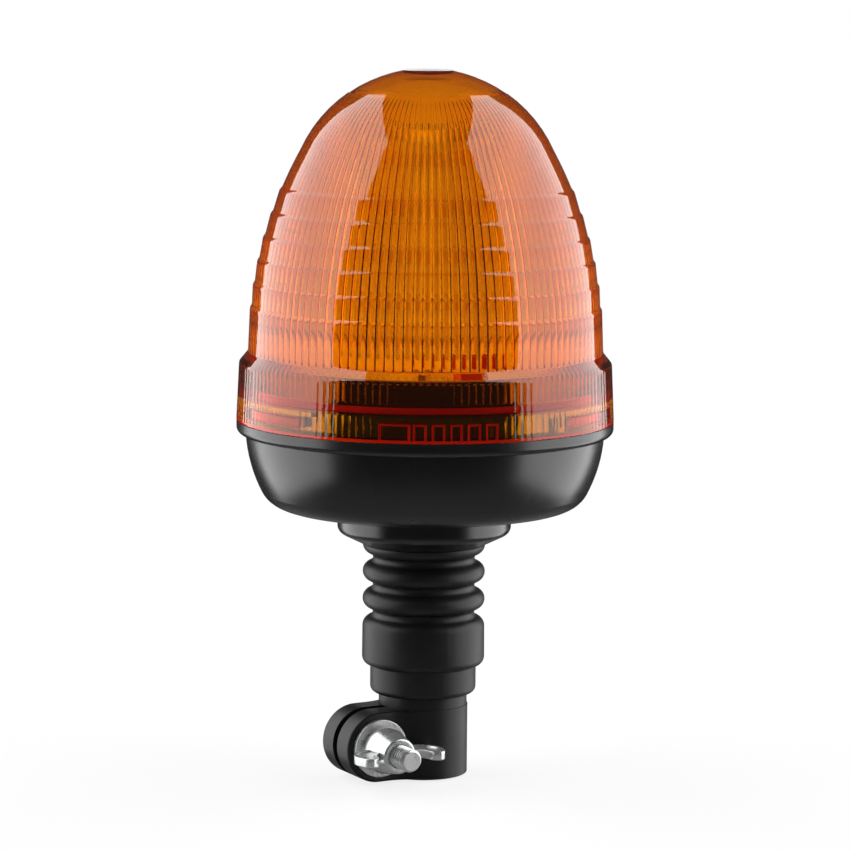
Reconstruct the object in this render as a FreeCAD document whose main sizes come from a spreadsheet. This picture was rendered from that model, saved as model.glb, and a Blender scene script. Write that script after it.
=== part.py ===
"""Amber warning beacon on a flexible stem that clamps over a 24 mm pole.

Sizes are in millimetres. The origin is the centre of the pole socket's mouth and +Z runs
up the stem to the crown of the lens. The clamp's ears point to -X, its wing nut to -Y.
"""
import FreeCAD
import Part
import Sketcher
import math
import os
from types import SimpleNamespace

doc = FreeCAD.newDocument("warning_beacon")
sheet = doc.addObject("Spreadsheet::Sheet", "dims")

# Driving dimensions: name, size in millimetres or degrees, what it is
DRIVING = (
    ("pole_bore_radius", 12.15, "socket that slides over a 24 mm pole"),
    ("pole_depth", 34.0, "how far the pole goes in"),
    ("clamp_radius", 15.6, "outside of the split ring"),
    ("clamp_height", 24.3, "split ring and ears"),
    ("tube_radius", 15.3, "tube above the split ring, under the rubber"),
    ("tube_height", 50.0, "top of the tube"),
    ("contact_bore_radius", 10.9, "bore above the pole's stop"),
    ("ear_reach", 22.2, "bolt axis from the pole axis"),
    ("ear_half_width", 9.75, "outer face of an ear from the middle plane"),
    ("ear_blend_radius", 15.0, "hollow blend from ear to ring"),
    ("slot_width", 3.1, "gap between the ears"),
    ("bolt_radius", 4.0, "M8 bolt"),
    ("bolt_length", 40.0, "under the head"),
    ("head_flats", 13.0, "M8 head across flats"),
    ("head_height", 5.3, "M8 head"),
    ("head_recess", 3.0, "depth of the hexagonal pocket in the rear ear"),
    ("washer_radius", 10.0, "flat washer"),
    ("washer_thick", 1.6, "flat washer"),
    ("lock_radius", 7.3, "split lock washer"),
    ("lock_thick", 2.0, "split lock washer"),
    ("hub_radius", 8.0, "foot of the wing nut's hub"),
    ("hub_height", 11.4, "wing nut's hub"),
    ("wing_reach", 16.2, "wing tip from the nut's axis"),
    ("wing_height", 17.0, "wing tip above the nut's foot"),
    ("wing_thick", 3.0, "wing"),
    ("sleeve_radius", 18.35, "rubber sleeve over the tube"),
    ("sleeve_foot", 28.3, "lower end of the rubber"),
    ("collar_radius", 21.25, "thick rubber collar"),
    ("collar_foot", 38.2, "underside of the collar"),
    ("collar_top", 51.6, "start of the collar's rounded top"),
    ("ring_radius", 21.15, "crest of a bellows ring"),
    ("ring_section", 3.13, "half thickness of a bellows ring"),
    ("ring_pitch", 9.55, "from one bellows ring to the next"),
    ("groove_radius", 17.6, "floor of a bellows groove"),
    ("stem_bore_radius", 12.6, "channel for the leads"),
    ("flange_radius", 30.0, "flange that holds the rubber stem"),
    ("flange_foot", 80.55, "underside of the flange"),
    ("flange_slope", 26.0, "rise of the flange's underside, degrees"),
    ("flange_edge", 3.0, "rounded lower edge of the flange"),
    ("bowl_foot", 93.42, "underside of the base"),
    ("bowl_wall", 2.6, "wall of the base"),
    ("bowl_corner", 9.89, "lower corner of the base"),
    ("bowl_flat_radius", 47.4, "flat underside of the base"),
    ("bowl_side", 50.0, "long curve of the base's side"),
    ("bowl_rim_radius", 61.7, "side of the base under its lip"),
    ("bowl_rim_height", 118.56, "side of the base under its lip"),
    ("bowl_lean", 3.71, "lean of the side under the lip, degrees"),
    ("bowl_turn", 27.43, "lean where the long curve meets the corner, degrees"),
    ("lip_radius", 64.9, "lip that the lens stands on"),
    ("lip_top", 123.6, "top of the lip"),
    ("spigot_radius", 59.3, "collar that goes up inside the lens"),
    ("spigot_top", 142.4, "top of that collar"),
    ("track_radius", 59.5, "groove that the lens lugs turn in"),
    ("ledge_radius", 61.2, "ledge over the lens lugs"),
    ("ledge_foot", 130.2, "underside of the ledge"),
    ("ledge_thick", 1.6, "ledge over the lens lugs"),
    ("seal_section", 1.2, "half thickness of the seal ring"),
    ("seal_height", 133.8, "middle of the seal ring"),
    ("lug_start", 170.0, "where the first lens lug starts, degrees"),
    ("lug_sweep", 30.0, "arc of one lug, degrees"),
    ("lens_foot", 123.75, "lower edge of the lens"),
    ("skirt_bore_radius", 62.2, "inside of the lens skirt"),
    ("seal_bore_radius", 60.3, "bore of the lens over the seal ring"),
    ("skirt_radius", 64.95, "outside of the lens skirt at its foot"),
    ("skirt_top_radius", 64.0, "outside of the lens skirt at its top"),
    ("skirt_top", 143.5, "start of the lens shoulder"),
    ("dome_foot_radius", 60.95, "dome above the shoulder"),
    ("dome_foot", 147.2, "dome above the shoulder"),
    ("tier_first", 163.0, "lowest step of the dome"),
    ("tier_pitch", 8.06, "from one step to the next"),
    ("tier_ledge", 0.62, "width of a step"),
    ("tier_drop", 1.1, "height of a step's rounded edge"),
    ("tier_1", 60.3, "dome at the first step"),
    ("tier_2", 59.3, "dome at the second step"),
    ("tier_3", 57.75, "dome at the third step"),
    ("tier_4", 55.75, "dome at the fourth step"),
    ("tier_5", 53.1, "dome at the fifth step"),
    ("tier_6", 50.05, "dome at the sixth step"),
    ("crown_radius", 47.5, "ball shape of the crown"),
    ("crown_centre", 196.5, "centre of that ball"),
    ("crown_ring_radius", 25.0, "fine step round the crown"),
    ("crown_ring_step", 0.3, "fine step round the crown"),
    ("button_radius", 8.0, "flat button on the crown"),
    ("button_top", 243.5, "top of the button"),
    ("lens_wall", 2.6, "wall of the lens"),
    ("deck_thick", 2.5, "white deck"),
    ("deck_lap", 1.2, "edge of the deck on top of the collar"),
    ("tower_flats", 24.0, "hexagonal heat sink across flats"),
    ("tower_height", 77.4, "hexagonal heat sink"),
    ("board_thick", 1.2, "circuit boards on the heat sink"),
    ("driver_height", 112.0, "underside of the driver board"),
    ("running_gap", 0.05, "gap round a turning or sliding fit"),
    ("easy_gap", 0.2, "gap round a loose fit"),
)
for row, (name, value, note) in enumerate(DRIVING, 1):
    sheet.set("A%d" % row, note)
    sheet.set("B%d" % row, str(value))
    sheet.setAlias("B%d" % row, name)
doc.recompute()


class Size:
    """A number that also carries the sheet expression it comes from."""

    def __init__(self, value, text):
        self.value = value
        self.text = text

    def __add__(self, other):
        other = size(other)
        return Size(self.value + other.value, "(%s + %s)" % (self.text, other.text))

    def __sub__(self, other):
        other = size(other)
        return Size(self.value - other.value, "(%s - %s)" % (self.text, other.text))

    def __mul__(self, other):
        other = size(other)
        return Size(self.value * other.value, "(%s * %s)" % (self.text, other.text))

    def __truediv__(self, other):
        other = size(other)
        return Size(self.value / other.value, "(%s / %s)" % (self.text, other.text))

    def __radd__(self, other):
        return size(other) + self

    def __rsub__(self, other):
        return size(other) - self

    def __rmul__(self, other):
        return size(other) * self

    def __neg__(self):
        return size(0) - self


def size(amount):
    if isinstance(amount, Size):
        return amount
    return Size(float(amount), "%.6f" % amount)


def cosine(angle):
    angle = size(angle)
    return Size(math.cos(math.radians(angle.value)), "cos(%s * 1 deg)" % angle.text)


def sine(angle):
    angle = size(angle)
    return Size(math.sin(math.radians(angle.value)), "sin(%s * 1 deg)" % angle.text)


def root(square):
    return Size(math.sqrt(square.value), "sqrt(%s)" % square.text)


d = SimpleNamespace(**{name: Size(value, "dims." + name) for name, value, note in DRIVING})
pieces = []


def new_body(label):
    body = doc.addObject("PartDesign::Body", label)
    body.Label = label
    if hasattr(body, "AllowCompound"):
        body.AllowCompound = True
    pieces.append(body)
    return body


def sketch_on(body, role, level=None):
    """A sketch on one of the body's own planes, lifted off it by level."""
    plane = next(f for f in body.Origin.OriginFeatures if f.Role == role)
    sketch = body.newObject("Sketcher::SketchObject", body.Label + "_sketch")
    sketch.AttachmentSupport = [(plane, "")]
    sketch.MapMode = "FlatFace"
    if level is not None:
        level = size(level)
        sketch.AttachmentOffset = FreeCAD.Placement(FreeCAD.Vector(0, 0, level.value), FreeCAD.Rotation())
        sketch.setExpression("AttachmentOffset.Base.z", level.text)
    return sketch


def bind(sketch, kind, place, amount):
    """One driving constraint, tied to the sheet."""
    amount = size(amount)
    index = sketch.addConstraint(Sketcher.Constraint(kind, *place, amount.value))
    if "dims." in amount.text:
        sketch.setExpression("Constraints[%d]" % index, amount.text)


def outline(sketch, corners):
    """A closed outline. A corner is (across, up); a third entry is the radius of the arc to
    the next corner, positive where that arc turns to the left."""
    places = [FreeCAD.Vector(size(c[0]).value, size(c[1]).value, 0) for c in corners]
    runs = []
    for here, corner in enumerate(corners):
        start = places[here]
        end = places[(here + 1) % len(corners)]
        if len(corner) == 2:
            runs.append((sketch.addGeometry(Part.LineSegment(start, end)), 1, 2))
            continue
        radius = size(corner[2]).value
        half = (end - start) * 0.5
        left = FreeCAD.Vector(-half.y, half.x, 0) / half.Length
        sag = abs(radius) - math.sqrt(max(radius * radius - half.Length ** 2, 0))
        middle = start + half - left * math.copysign(sag, radius)
        run = sketch.addGeometry(Part.Arc(start, middle, end))
        runs.append((run, 1, 2) if radius > 0 else (run, 2, 1))
    for here, (run, start, end) in enumerate(runs):
        following, begin, _ = runs[(here + 1) % len(runs)]
        sketch.addConstraint(Sketcher.Constraint("Coincident", run, end, following, begin))
        bind(sketch, "DistanceX", (run, start), corners[here][0])
        bind(sketch, "DistanceY", (run, start), corners[here][1])
        if len(corners[here]) == 3:
            radius = size(corners[here][2])
            bind(sketch, "Radius", (run,), radius if radius.value > 0 else -radius)


def circle(sketch, across, up, radius):
    centre = FreeCAD.Vector(size(across).value, size(up).value, 0)
    ring = sketch.addGeometry(Part.Circle(centre, FreeCAD.Vector(0, 0, 1), size(radius).value))
    bind(sketch, "DistanceX", (ring, 3), across)
    bind(sketch, "DistanceY", (ring, 3), up)
    bind(sketch, "Radius", (ring,), radius)


def rectangle(sketch, left, low, right, high):
    outline(sketch, [(left, low), (right, low), (right, high), (left, high)])


def hexagon(sketch, across, up, flats):
    corner = flats / math.sqrt(3)
    outline(sketch, [(across + corner * cosine(60 * k), up + corner * sine(60 * k)) for k in range(6)])


def sector(sketch, inner, outer, start, sweep):
    """Part of a ring about the origin, between two angles in degrees."""
    end = start + sweep
    outline(sketch, [
        (inner * cosine(start), inner * sine(start)),
        (outer * cosine(start), outer * sine(start), outer),
        (outer * cosine(end), outer * sine(end)),
        (inner * cosine(end), inner * sine(end), -inner),
    ])


def revolve(body, corners, angle=360.0, cut=False):
    """A shape turned about the body's Z axis, added or cut away."""
    sketch = sketch_on(body, "XZ_Plane")
    outline(sketch, corners)
    kind = "PartDesign::Groove" if cut else "PartDesign::Revolution"
    turned = body.newObject(kind, body.Label + "_turned")
    turned.Profile = sketch
    turned.ReferenceAxis = (sketch, ["V_Axis"])
    turned.Angle = angle
    return turned


def extrude(body, sketch, length, cut=False, both_ways=False, backward=False):
    kind = "PartDesign::Pocket" if cut else "PartDesign::Pad"
    grown = body.newObject(kind, body.Label + "_grown")
    grown.Profile = sketch
    length = size(length)
    grown.Length = length.value
    if "dims." in length.text:
        grown.setExpression("Length", length.text)
    if both_ways:
        grown.SideType = "Symmetric"
    grown.Reversed = backward
    return grown


def around(body, feature, count, angle=360.0):
    """The feature repeated about the body's Z axis."""
    axis = next(f for f in body.Origin.OriginFeatures if f.Role == "Z_Axis")
    pattern = body.newObject("PartDesign::PolarPattern", body.Label + "_pattern")
    pattern.Originals = [feature]
    pattern.Axis = (axis, [""])
    pattern.Angle = angle
    pattern.Occurrences = count
    body.Tip = pattern
    return pattern


def soften(body, radius, wanted):
    """Rounds the edges of the body's last feature that wanted() picks."""
    doc.recompute()
    tip = body.Tip
    names = ["Edge%d" % (n + 1) for n, edge in enumerate(tip.Shape.Edges) if wanted(edge)]
    rounded = body.newObject("PartDesign::Fillet", body.Label + "_rounded")
    rounded.Base = (tip, names)
    rounded.Radius = radius
    body.Tip = rounded
    return rounded


def middle_of(edge):
    return edge.valueAt((edge.FirstParameter + edge.LastParameter) / 2)


def place(body, across, along, up, turn=None):
    """Moves a finished body, its place tied to the sheet."""
    spots = [size(across), size(along), size(up)]
    base = FreeCAD.Vector(*[spot.value for spot in spots])
    body.Placement = FreeCAD.Placement(base, turn or FreeCAD.Rotation())
    for axis, spot in zip("xyz", spots):
        if "dims." in spot.text:
            body.setExpression("Placement.Base." + axis, spot.text)


# Split clamp: ring, two ears with hollow blends, the tube above and the bore through both
clamp = new_body("pole_clamp")
ear_radius = d.clamp_height / 2
ears = sketch_on(clamp, "XZ_Plane")
outline(ears, [
    (-d.ear_reach, 0),
    (0, 0),
    (0, d.clamp_height),
    (-d.ear_reach, d.clamp_height, ear_radius),
    (-d.ear_reach - ear_radius, ear_radius, ear_radius),
])
extrude(clamp, ears, d.ear_half_width * 2, both_ways=True)
blend_root = d.ear_half_width - 1
blends = sketch_on(clamp, "XY_Plane")
centre_out = d.clamp_radius + d.ear_blend_radius
centre_side = d.ear_half_width + d.ear_blend_radius
centre_along = root(centre_out * centre_out - centre_side * centre_side)
touch = d.clamp_radius / centre_out
for side in (1, -1):
    outline(blends, [
        (-centre_along, d.ear_half_width * side, d.ear_blend_radius * side),
        (-centre_along * touch, centre_side * touch * side),
        (-centre_along * touch, blend_root * side),
        (-centre_along, blend_root * side),
    ])
extrude(clamp, blends, d.clamp_height)


def ear_rim(edge):
    """Edges along the ears and their blends, at the outer faces and the upper and lower ends."""
    box = edge.BoundBox
    end_face = box.ZLength < 0.01 and min(box.ZMin, d.clamp_height.value - box.ZMax) < 0.01
    outer_face = max(abs(box.YMin), abs(box.YMax)) > d.ear_half_width.value - 0.01
    round_end = box.XMin < -d.ear_reach.value - 0.95 * ear_radius.value and box.YLength < 0.01
    return round_end or (end_face and outer_face and box.YMin * box.YMax > 0 and box.XLength > 0.01)


rim_round = 1.0
soften(clamp, rim_round, ear_rim)
ring_edge = 0.25
revolve(clamp, [
    (0, 0),
    (d.clamp_radius - ring_edge, 0, ring_edge),
    (d.clamp_radius, ring_edge),
    (d.clamp_radius, d.clamp_height - ring_edge, ring_edge),
    (d.clamp_radius - ring_edge, d.clamp_height),
    (d.tube_radius, d.clamp_height),
    (d.tube_radius, d.tube_height),
    (0, d.tube_height),
])
revolve(clamp, [
    (0, 0),
    (d.pole_bore_radius, 0),
    (d.pole_bore_radius, d.pole_depth),
    (d.contact_bore_radius, d.pole_depth),
    (d.contact_bore_radius, d.tube_height),
    (0, d.tube_height),
], cut=True)
run_out = 4.0
slot = sketch_on(clamp, "XY_Plane")
slot_half = d.slot_width / 2
rectangle(slot, -d.ear_reach - ear_radius - run_out, -slot_half, 0, slot_half)
extrude(clamp, slot, d.clamp_height, cut=True, backward=True)
bolt_hole = sketch_on(clamp, "XZ_Plane")
circle(bolt_hole, -d.ear_reach, ear_radius, d.bolt_radius + d.easy_gap)
extrude(clamp, bolt_hole, d.ear_half_width * 2 + run_out, cut=True, both_ways=True)
head_pocket = sketch_on(clamp, "XZ_Plane", -d.ear_half_width - run_out)
hexagon(head_pocket, -d.ear_reach, ear_radius, d.head_flats + d.easy_gap)
extrude(clamp, head_pocket, d.head_recess + run_out, cut=True, backward=True)
spot_face = sketch_on(clamp, "XZ_Plane", d.ear_half_width + run_out)
circle(spot_face, -d.ear_reach, ear_radius, d.washer_radius + d.easy_gap * 2)
extrude(clamp, spot_face, run_out, cut=True)

# Clamp bolt, its washers and the wing nut, all along -Y through the ears
screw_turn = FreeCAD.Rotation(FreeCAD.Vector(1, 0, 0), 90)
bolt_chamfer = 0.8
bolt = new_body("clamp_bolt")
revolve(bolt, [
    (0, 0),
    (d.bolt_radius, 0),
    (d.bolt_radius, d.bolt_length - bolt_chamfer),
    (d.bolt_radius - bolt_chamfer, d.bolt_length),
    (0, d.bolt_length),
])
head = sketch_on(bolt, "XY_Plane")
hexagon(head, size(0), size(0), d.head_flats)
extrude(bolt, head, d.head_height, backward=True)
chamfer_slope = 30
chamfer_in = d.head_flats * 0.47
chamfer_out = d.head_flats * 0.63
chamfer_rise = (chamfer_out - chamfer_in) * sine(chamfer_slope) / cosine(chamfer_slope)
revolve(bolt, [
    (chamfer_in, -d.head_height),
    (chamfer_out, -d.head_height),
    (chamfer_out, chamfer_rise - d.head_height),
], cut=True)
head_seat = d.ear_half_width - d.head_recess
place(bolt, -d.ear_reach, head_seat, ear_radius, screw_turn)

washer = new_body("clamp_washer")
revolve(washer, [
    (d.bolt_radius + d.easy_gap, 0),
    (d.washer_radius, 0),
    (d.washer_radius, d.washer_thick),
    (d.bolt_radius + d.easy_gap, d.washer_thick),
])
washer_edge = 0.3
soften(washer, washer_edge, lambda e: e.BoundBox.XLength > 15 and e.BoundBox.ZMin > 0.1)
place(washer, -d.ear_reach, -d.ear_half_width, ear_radius, screw_turn)

lock_turn = 350.0
lock = new_body("lock_washer")
revolve(lock, [
    (d.bolt_radius + d.easy_gap, 0),
    (d.lock_radius, 0),
    (d.lock_radius, d.lock_thick),
    (d.bolt_radius + d.easy_gap, d.lock_thick),
], angle=lock_turn)
lock_seat = -d.ear_half_width - d.washer_thick
place(lock, -d.ear_reach, lock_seat, ear_radius, screw_turn)

wing_nut = new_body("wing_nut")
hub_foot = 1.8
hub_edge = 0.6
hub_top = d.hub_radius - 2.0
thread_bore = d.bolt_radius + d.running_gap
revolve(wing_nut, [
    (thread_bore, 0),
    (d.hub_radius - hub_edge, 0),
    (d.hub_radius, hub_edge),
    (d.hub_radius, hub_foot),
    (hub_top, d.hub_height - hub_edge),
    (hub_top - hub_edge, d.hub_height),
    (thread_bore, d.hub_height),
])
wing_rim = 1.0
wing_sunk = 0.7
wing_foot = 2.0
wing_flare = 9.0
wing_back = 6.5
wing_back_foot = 7.5
tip_round = 3.2
tip_width = 6.4


def wing_outline(sketch, side, inset):
    """Outline of one wing, or of the panel inside its rim."""
    back = (d.wing_reach - inset - 0.5) * side
    tip_middle = (d.wing_reach - tip_width / 2) * side
    tip_inner = (d.wing_reach - tip_width + inset) * side
    root_low = (d.hub_radius * 1.15 + inset) * side
    root_high = (d.hub_radius * 0.7 + inset * 2.4) * side
    tip_arc = (tip_round + 0.2 - inset * 0.6) * side
    outline(sketch, [
        (root_high, wing_foot + inset * 1.6),
        (root_low, wing_foot + 0.6 + inset, wing_flare * side),
        (back, wing_back_foot, wing_back * side),
        (back, d.wing_height - tip_round - inset * 0.5, tip_arc),
        (tip_middle, d.wing_height - inset, tip_arc),
        (tip_inner, d.wing_height - tip_round - 0.4, -wing_flare * side),
        (root_high, d.hub_height * 0.7 - inset),
    ])


wing_half = d.wing_thick / 2
for side in (1, -1):
    wing = sketch_on(wing_nut, "XZ_Plane")
    wing_outline(wing, side, 0)
    extrude(wing_nut, wing, d.wing_thick, both_ways=True)
for side in (1, -1):
    for face, downward in ((wing_half, False), (-wing_half, True)):
        panel = sketch_on(wing_nut, "XZ_Plane", face)
        wing_outline(panel, side, wing_rim)
        extrude(wing_nut, panel, wing_sunk, cut=True, backward=downward)
nut_seat = lock_seat - d.lock_thick
place(wing_nut, -d.ear_reach, nut_seat, ear_radius, screw_turn)

# Contact set at the top of the socket: insulator, sprung plunger, terminal and earth ring
carrier_length = 12.0
carrier_floor = 2.0
carrier_flange = 1.2
carrier_foot = d.tube_height - carrier_length
carrier_top = d.tube_height + 2
chamber_foot = carrier_foot + carrier_floor
chamber_radius = 4.8
plunger_radius = 3.0
plunger_bore = plunger_radius + d.running_gap
carrier_fit = d.contact_bore_radius - d.running_gap
carrier = new_body("contact_carrier")
revolve(carrier, [
    (plunger_bore, carrier_foot),
    (carrier_fit, carrier_foot),
    (carrier_fit, d.tube_height),
    (d.contact_bore_radius + carrier_flange, d.tube_height),
    (d.contact_bore_radius + carrier_flange, carrier_top),
    (chamber_radius, carrier_top),
    (chamber_radius, chamber_foot),
    (plunger_bore, chamber_foot),
])
lead_offset = 8.6
lead_radius = 1.1
earth_hole = sketch_on(carrier, "XY_Plane", carrier_foot)
circle(earth_hole, -lead_offset, 0, lead_radius + d.easy_gap)
extrude(carrier, earth_hole, carrier_top - carrier_foot, cut=True, backward=True)

plunger_nose = 1.2
plunger_rim = 1.2
stub_radius = 1.9
stub_top = 4.0
plunger_tip = d.pole_depth + 0.6
shoulder = chamber_foot + d.running_gap
rim_radius = chamber_radius - d.easy_gap
plunger = new_body("contact_plunger")
revolve(plunger, [
    (0, plunger_tip),
    (plunger_radius - plunger_nose, plunger_tip, plunger_nose),
    (plunger_radius, plunger_tip + plunger_nose),
    (plunger_radius, shoulder),
    (rim_radius, shoulder),
    (rim_radius, shoulder + plunger_rim),
    (stub_radius, shoulder + plunger_rim),
    (stub_radius, shoulder + stub_top),
    (0, shoulder + stub_top),
])

terminal_thick = 1.4
tag_radius = 1.6
tag_height = 1.0
terminal_foot = d.tube_height + 1
terminal_fit = chamber_radius - d.running_gap
terminal = new_body("contact_terminal")
revolve(terminal, [
    (0, terminal_foot),
    (terminal_fit, terminal_foot),
    (terminal_fit, terminal_foot + terminal_thick),
    (tag_radius, terminal_foot + terminal_thick),
    (tag_radius, terminal_foot + terminal_thick + tag_height),
    (0, terminal_foot + terminal_thick + tag_height),
])

wire_radius = 0.35
coil_radius = 3.3
coil_turns = 5
spring_foot = shoulder + plunger_rim + wire_radius
spring_run = terminal_foot - wire_radius - spring_foot
spring = new_body("contact_spring")
wire = sketch_on(spring, "XZ_Plane")
circle(wire, coil_radius, spring_foot, wire_radius)
coil = spring.newObject("PartDesign::AdditiveHelix", "contact_spring_coil")
coil.Profile = wire
coil.ReferenceAxis = (wire, ["V_Axis"])
coil.Mode = "height-turns-angle"
coil.Height = spring_run.value
coil.setExpression("Height", spring_run.text)
coil.Turns = coil_turns

earth_bore = 7.0
earth_thick = 0.8
earth_foot = d.pole_depth + 0.1
earth = new_body("earth_contact")
revolve(earth, [
    (earth_bore, earth_foot),
    (carrier_fit, earth_foot),
    (carrier_fit, earth_foot + earth_thick),
    (earth_bore, earth_foot + earth_thick),
])

# Flexible rubber stem: sleeve and collar over the tube, bellows, and a plug held by the flange
stem = new_body("rubber_stem")
socket = d.tube_radius + d.running_gap * 2
section = d.ring_section
sleeve_edge = 2.2
collar_edge = 2.8
profile = [
    (socket, d.sleeve_foot),
    (d.sleeve_radius - sleeve_edge, d.sleeve_foot, sleeve_edge),
    (d.sleeve_radius, d.sleeve_foot + sleeve_edge),
    (d.sleeve_radius, d.collar_foot),
    (d.collar_radius - collar_edge, d.collar_foot, collar_edge),
    (d.collar_radius, d.collar_foot + collar_edge),
    (d.collar_radius, d.collar_top, section),
    (d.collar_radius - section, d.collar_top + section),
    (d.groove_radius, d.collar_top + section),
]
for ring in (1, 2):
    height = d.collar_top + d.ring_pitch * ring
    profile += [
        (d.groove_radius, height - section),
        (d.ring_radius - section, height - section, section),
        (d.ring_radius, height, section),
        (d.ring_radius - section, height + section),
        (d.groove_radius, height + section),
    ]
neck_top = d.flange_foot - d.running_gap * 2
last = d.collar_top + d.ring_pitch * 3
throat_radius = d.groove_radius - d.easy_gap * 2
plug_foot = d.flange_foot + 3.85
plug_top = d.bowl_foot - d.easy_gap
plug_radius = d.flange_radius - 7.5
profile += [
    (d.groove_radius, last - section),
    (d.ring_radius - section, last - section, section),
    (d.ring_radius, last),
    (d.ring_radius, neck_top),
    (throat_radius, neck_top),
    (throat_radius, plug_foot),
    (plug_radius, plug_foot),
    (plug_radius, plug_top),
    (d.stem_bore_radius, plug_top),
    (d.stem_bore_radius, d.tube_height + d.easy_gap),
    (socket, d.tube_height + d.easy_gap),
]
revolve(stem, profile)

# Leads from the contacts up through the stem to the driver board
solder_gap = 0.1
lead_top = d.driver_height - solder_gap
tag_top = terminal_foot + terminal_thick + tag_height
for label, across, foot in (
        ("lead_positive", 3.0, tag_top + solder_gap),
        ("lead_earth", -lead_offset, earth_foot + earth_thick + solder_gap)):
    lead = new_body(label)
    end = sketch_on(lead, "XY_Plane", foot)
    circle(end, across, 0, lead_radius)
    extrude(lead, end, lead_top - foot)

# Flange under the base, with a recess for the stem's plug and three screw holes
screw_ring = 26.4
screw_radius = 1.5
flange_seat = d.flange_radius - 8.8
edge_start = d.flange_radius - d.flange_edge * (1 - sine(d.flange_slope))
edge_foot = d.flange_foot + (edge_start - flange_seat) * sine(d.flange_slope) / cosine(d.flange_slope)
flange = new_body("stem_flange")
revolve(flange, [
    (d.groove_radius, d.flange_foot),
    (flange_seat, d.flange_foot),
    (edge_start, edge_foot, d.flange_edge),
    (d.flange_radius, edge_foot + d.flange_edge * cosine(d.flange_slope)),
    (d.flange_radius, d.bowl_foot),
    (plug_radius + d.easy_gap, d.bowl_foot),
    (plug_radius + d.easy_gap, plug_foot - d.easy_gap),
    (d.groove_radius, plug_foot - d.easy_gap),
])
flange_pilot = 8.5
screw_hole = sketch_on(flange, "XY_Plane", d.bowl_foot)
circle(screw_hole, -screw_ring, 0, screw_radius + d.running_gap)
around(flange, extrude(flange, screw_hole, flange_pilot, cut=True), 3)

# Base: bowl, lip, and the collar with the lens track, its ledge and the seal groove
base = new_body("base_housing")
side_across = d.bowl_rim_radius - d.bowl_side * cosine(d.bowl_lean)
side_up = d.bowl_rim_height + d.bowl_side * sine(d.bowl_lean)
corner_up = d.bowl_foot + d.bowl_corner
inner_side = d.bowl_side - d.bowl_wall
inner_corner = d.bowl_corner - d.bowl_wall
floor_top = d.bowl_foot + d.bowl_wall
lead_hole = d.stem_bore_radius
lip_edge = 2.3
lip_foot = d.lip_top - lip_edge * 2
lip_wall = 2.4
collar_wall = 2.5
collar_bore = d.spigot_radius - collar_wall
ledge_top = d.ledge_foot + d.ledge_thick
seal_room = d.seal_section + d.running_gap * 2
seal_floor = d.spigot_radius - 1.65
revolve(base, [
    (lead_hole, d.bowl_foot),
    (d.bowl_flat_radius, d.bowl_foot, d.bowl_corner),
    (d.bowl_flat_radius + d.bowl_corner * cosine(d.bowl_turn),
     corner_up - d.bowl_corner * sine(d.bowl_turn), d.bowl_side),
    (d.bowl_rim_radius, d.bowl_rim_height),
    (d.bowl_rim_radius, lip_foot),
    (d.lip_radius - lip_edge, lip_foot, lip_edge),
    (d.lip_radius, lip_foot + lip_edge),
    (d.lip_radius, d.lip_top),
    (d.track_radius, d.lip_top),
    (d.track_radius, d.ledge_foot),
    (d.ledge_radius, d.ledge_foot),
    (d.ledge_radius, ledge_top),
    (d.spigot_radius, ledge_top),
    (d.spigot_radius, d.seal_height - seal_room),
    (seal_floor, d.seal_height - seal_room),
    (seal_floor, d.seal_height + seal_room),
    (d.spigot_radius, d.seal_height + seal_room),
    (d.spigot_radius, d.spigot_top),
    (collar_bore, d.spigot_top),
    (collar_bore, d.lip_top - lip_wall),
    (side_across + inner_side * cosine(d.bowl_lean),
     side_up - inner_side * sine(d.bowl_lean), -inner_side),
    (d.bowl_flat_radius + inner_corner * cosine(d.bowl_turn),
     corner_up - inner_corner * sine(d.bowl_turn), -inner_corner),
    (d.bowl_flat_radius, floor_top),
    (lead_hole, floor_top),
])
deck_top = d.spigot_top + d.deck_lap
deck_foot = deck_top - d.deck_thick
deck_ring = 48.0
driver_ring = 30.0
post_root = 0.8
post_pilot = 14.0
for ring_at, post_radius, post_top in ((deck_ring, 4.0, deck_foot), (driver_ring, 3.5, d.driver_height)):
    post = sketch_on(base, "XY_Plane", floor_top - post_root)
    circle(post, ring_at, 0, post_radius)
    around(base, extrude(base, post, post_top - floor_top + post_root), 3)
    pilot = sketch_on(base, "XY_Plane", post_top)
    circle(pilot, ring_at, 0, screw_radius + d.running_gap)
    around(base, extrude(base, pilot, post_pilot, cut=True), 3)
passage = sketch_on(base, "XY_Plane", floor_top)
circle(passage, -screw_ring, 0, screw_radius + d.running_gap)
around(base, extrude(base, passage, d.bowl_wall, cut=True), 3)
# Lens lock: three gaps in the ledge let the lugs in, and three stops end their turn
entry_from = d.lug_start + d.lug_sweep + 4
entry_sweep = d.lug_sweep + 6
entry = sketch_on(base, "XY_Plane", d.ledge_foot)
sector(entry, d.spigot_radius, d.ledge_radius + 1, entry_from, entry_sweep)
around(base, extrude(base, entry, d.ledge_thick, cut=True, backward=True), 3)
stop_root = 0.2
stop_sweep = size(3)
stop_from = d.lug_start - stop_sweep - 1
stop = sketch_on(base, "XY_Plane", d.lip_top - stop_root)
sector(stop, d.track_radius - stop_root, d.ledge_radius - d.easy_gap, stop_from, stop_sweep)
around(base, extrude(base, stop, d.ledge_foot - d.lip_top + stop_root * 2), 3)

# Seal ring in the groove of the base's collar
seal = doc.addObject("Part::Torus", "lens_seal")
seal.Label = "lens_seal"
seal.setExpression("Radius1", (seal_floor + d.seal_section + d.running_gap).text)
seal.setExpression("Radius2", d.seal_section.text)
seal.setExpression("Placement.Base.z", d.seal_height.text)
pieces.append(seal)

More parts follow.
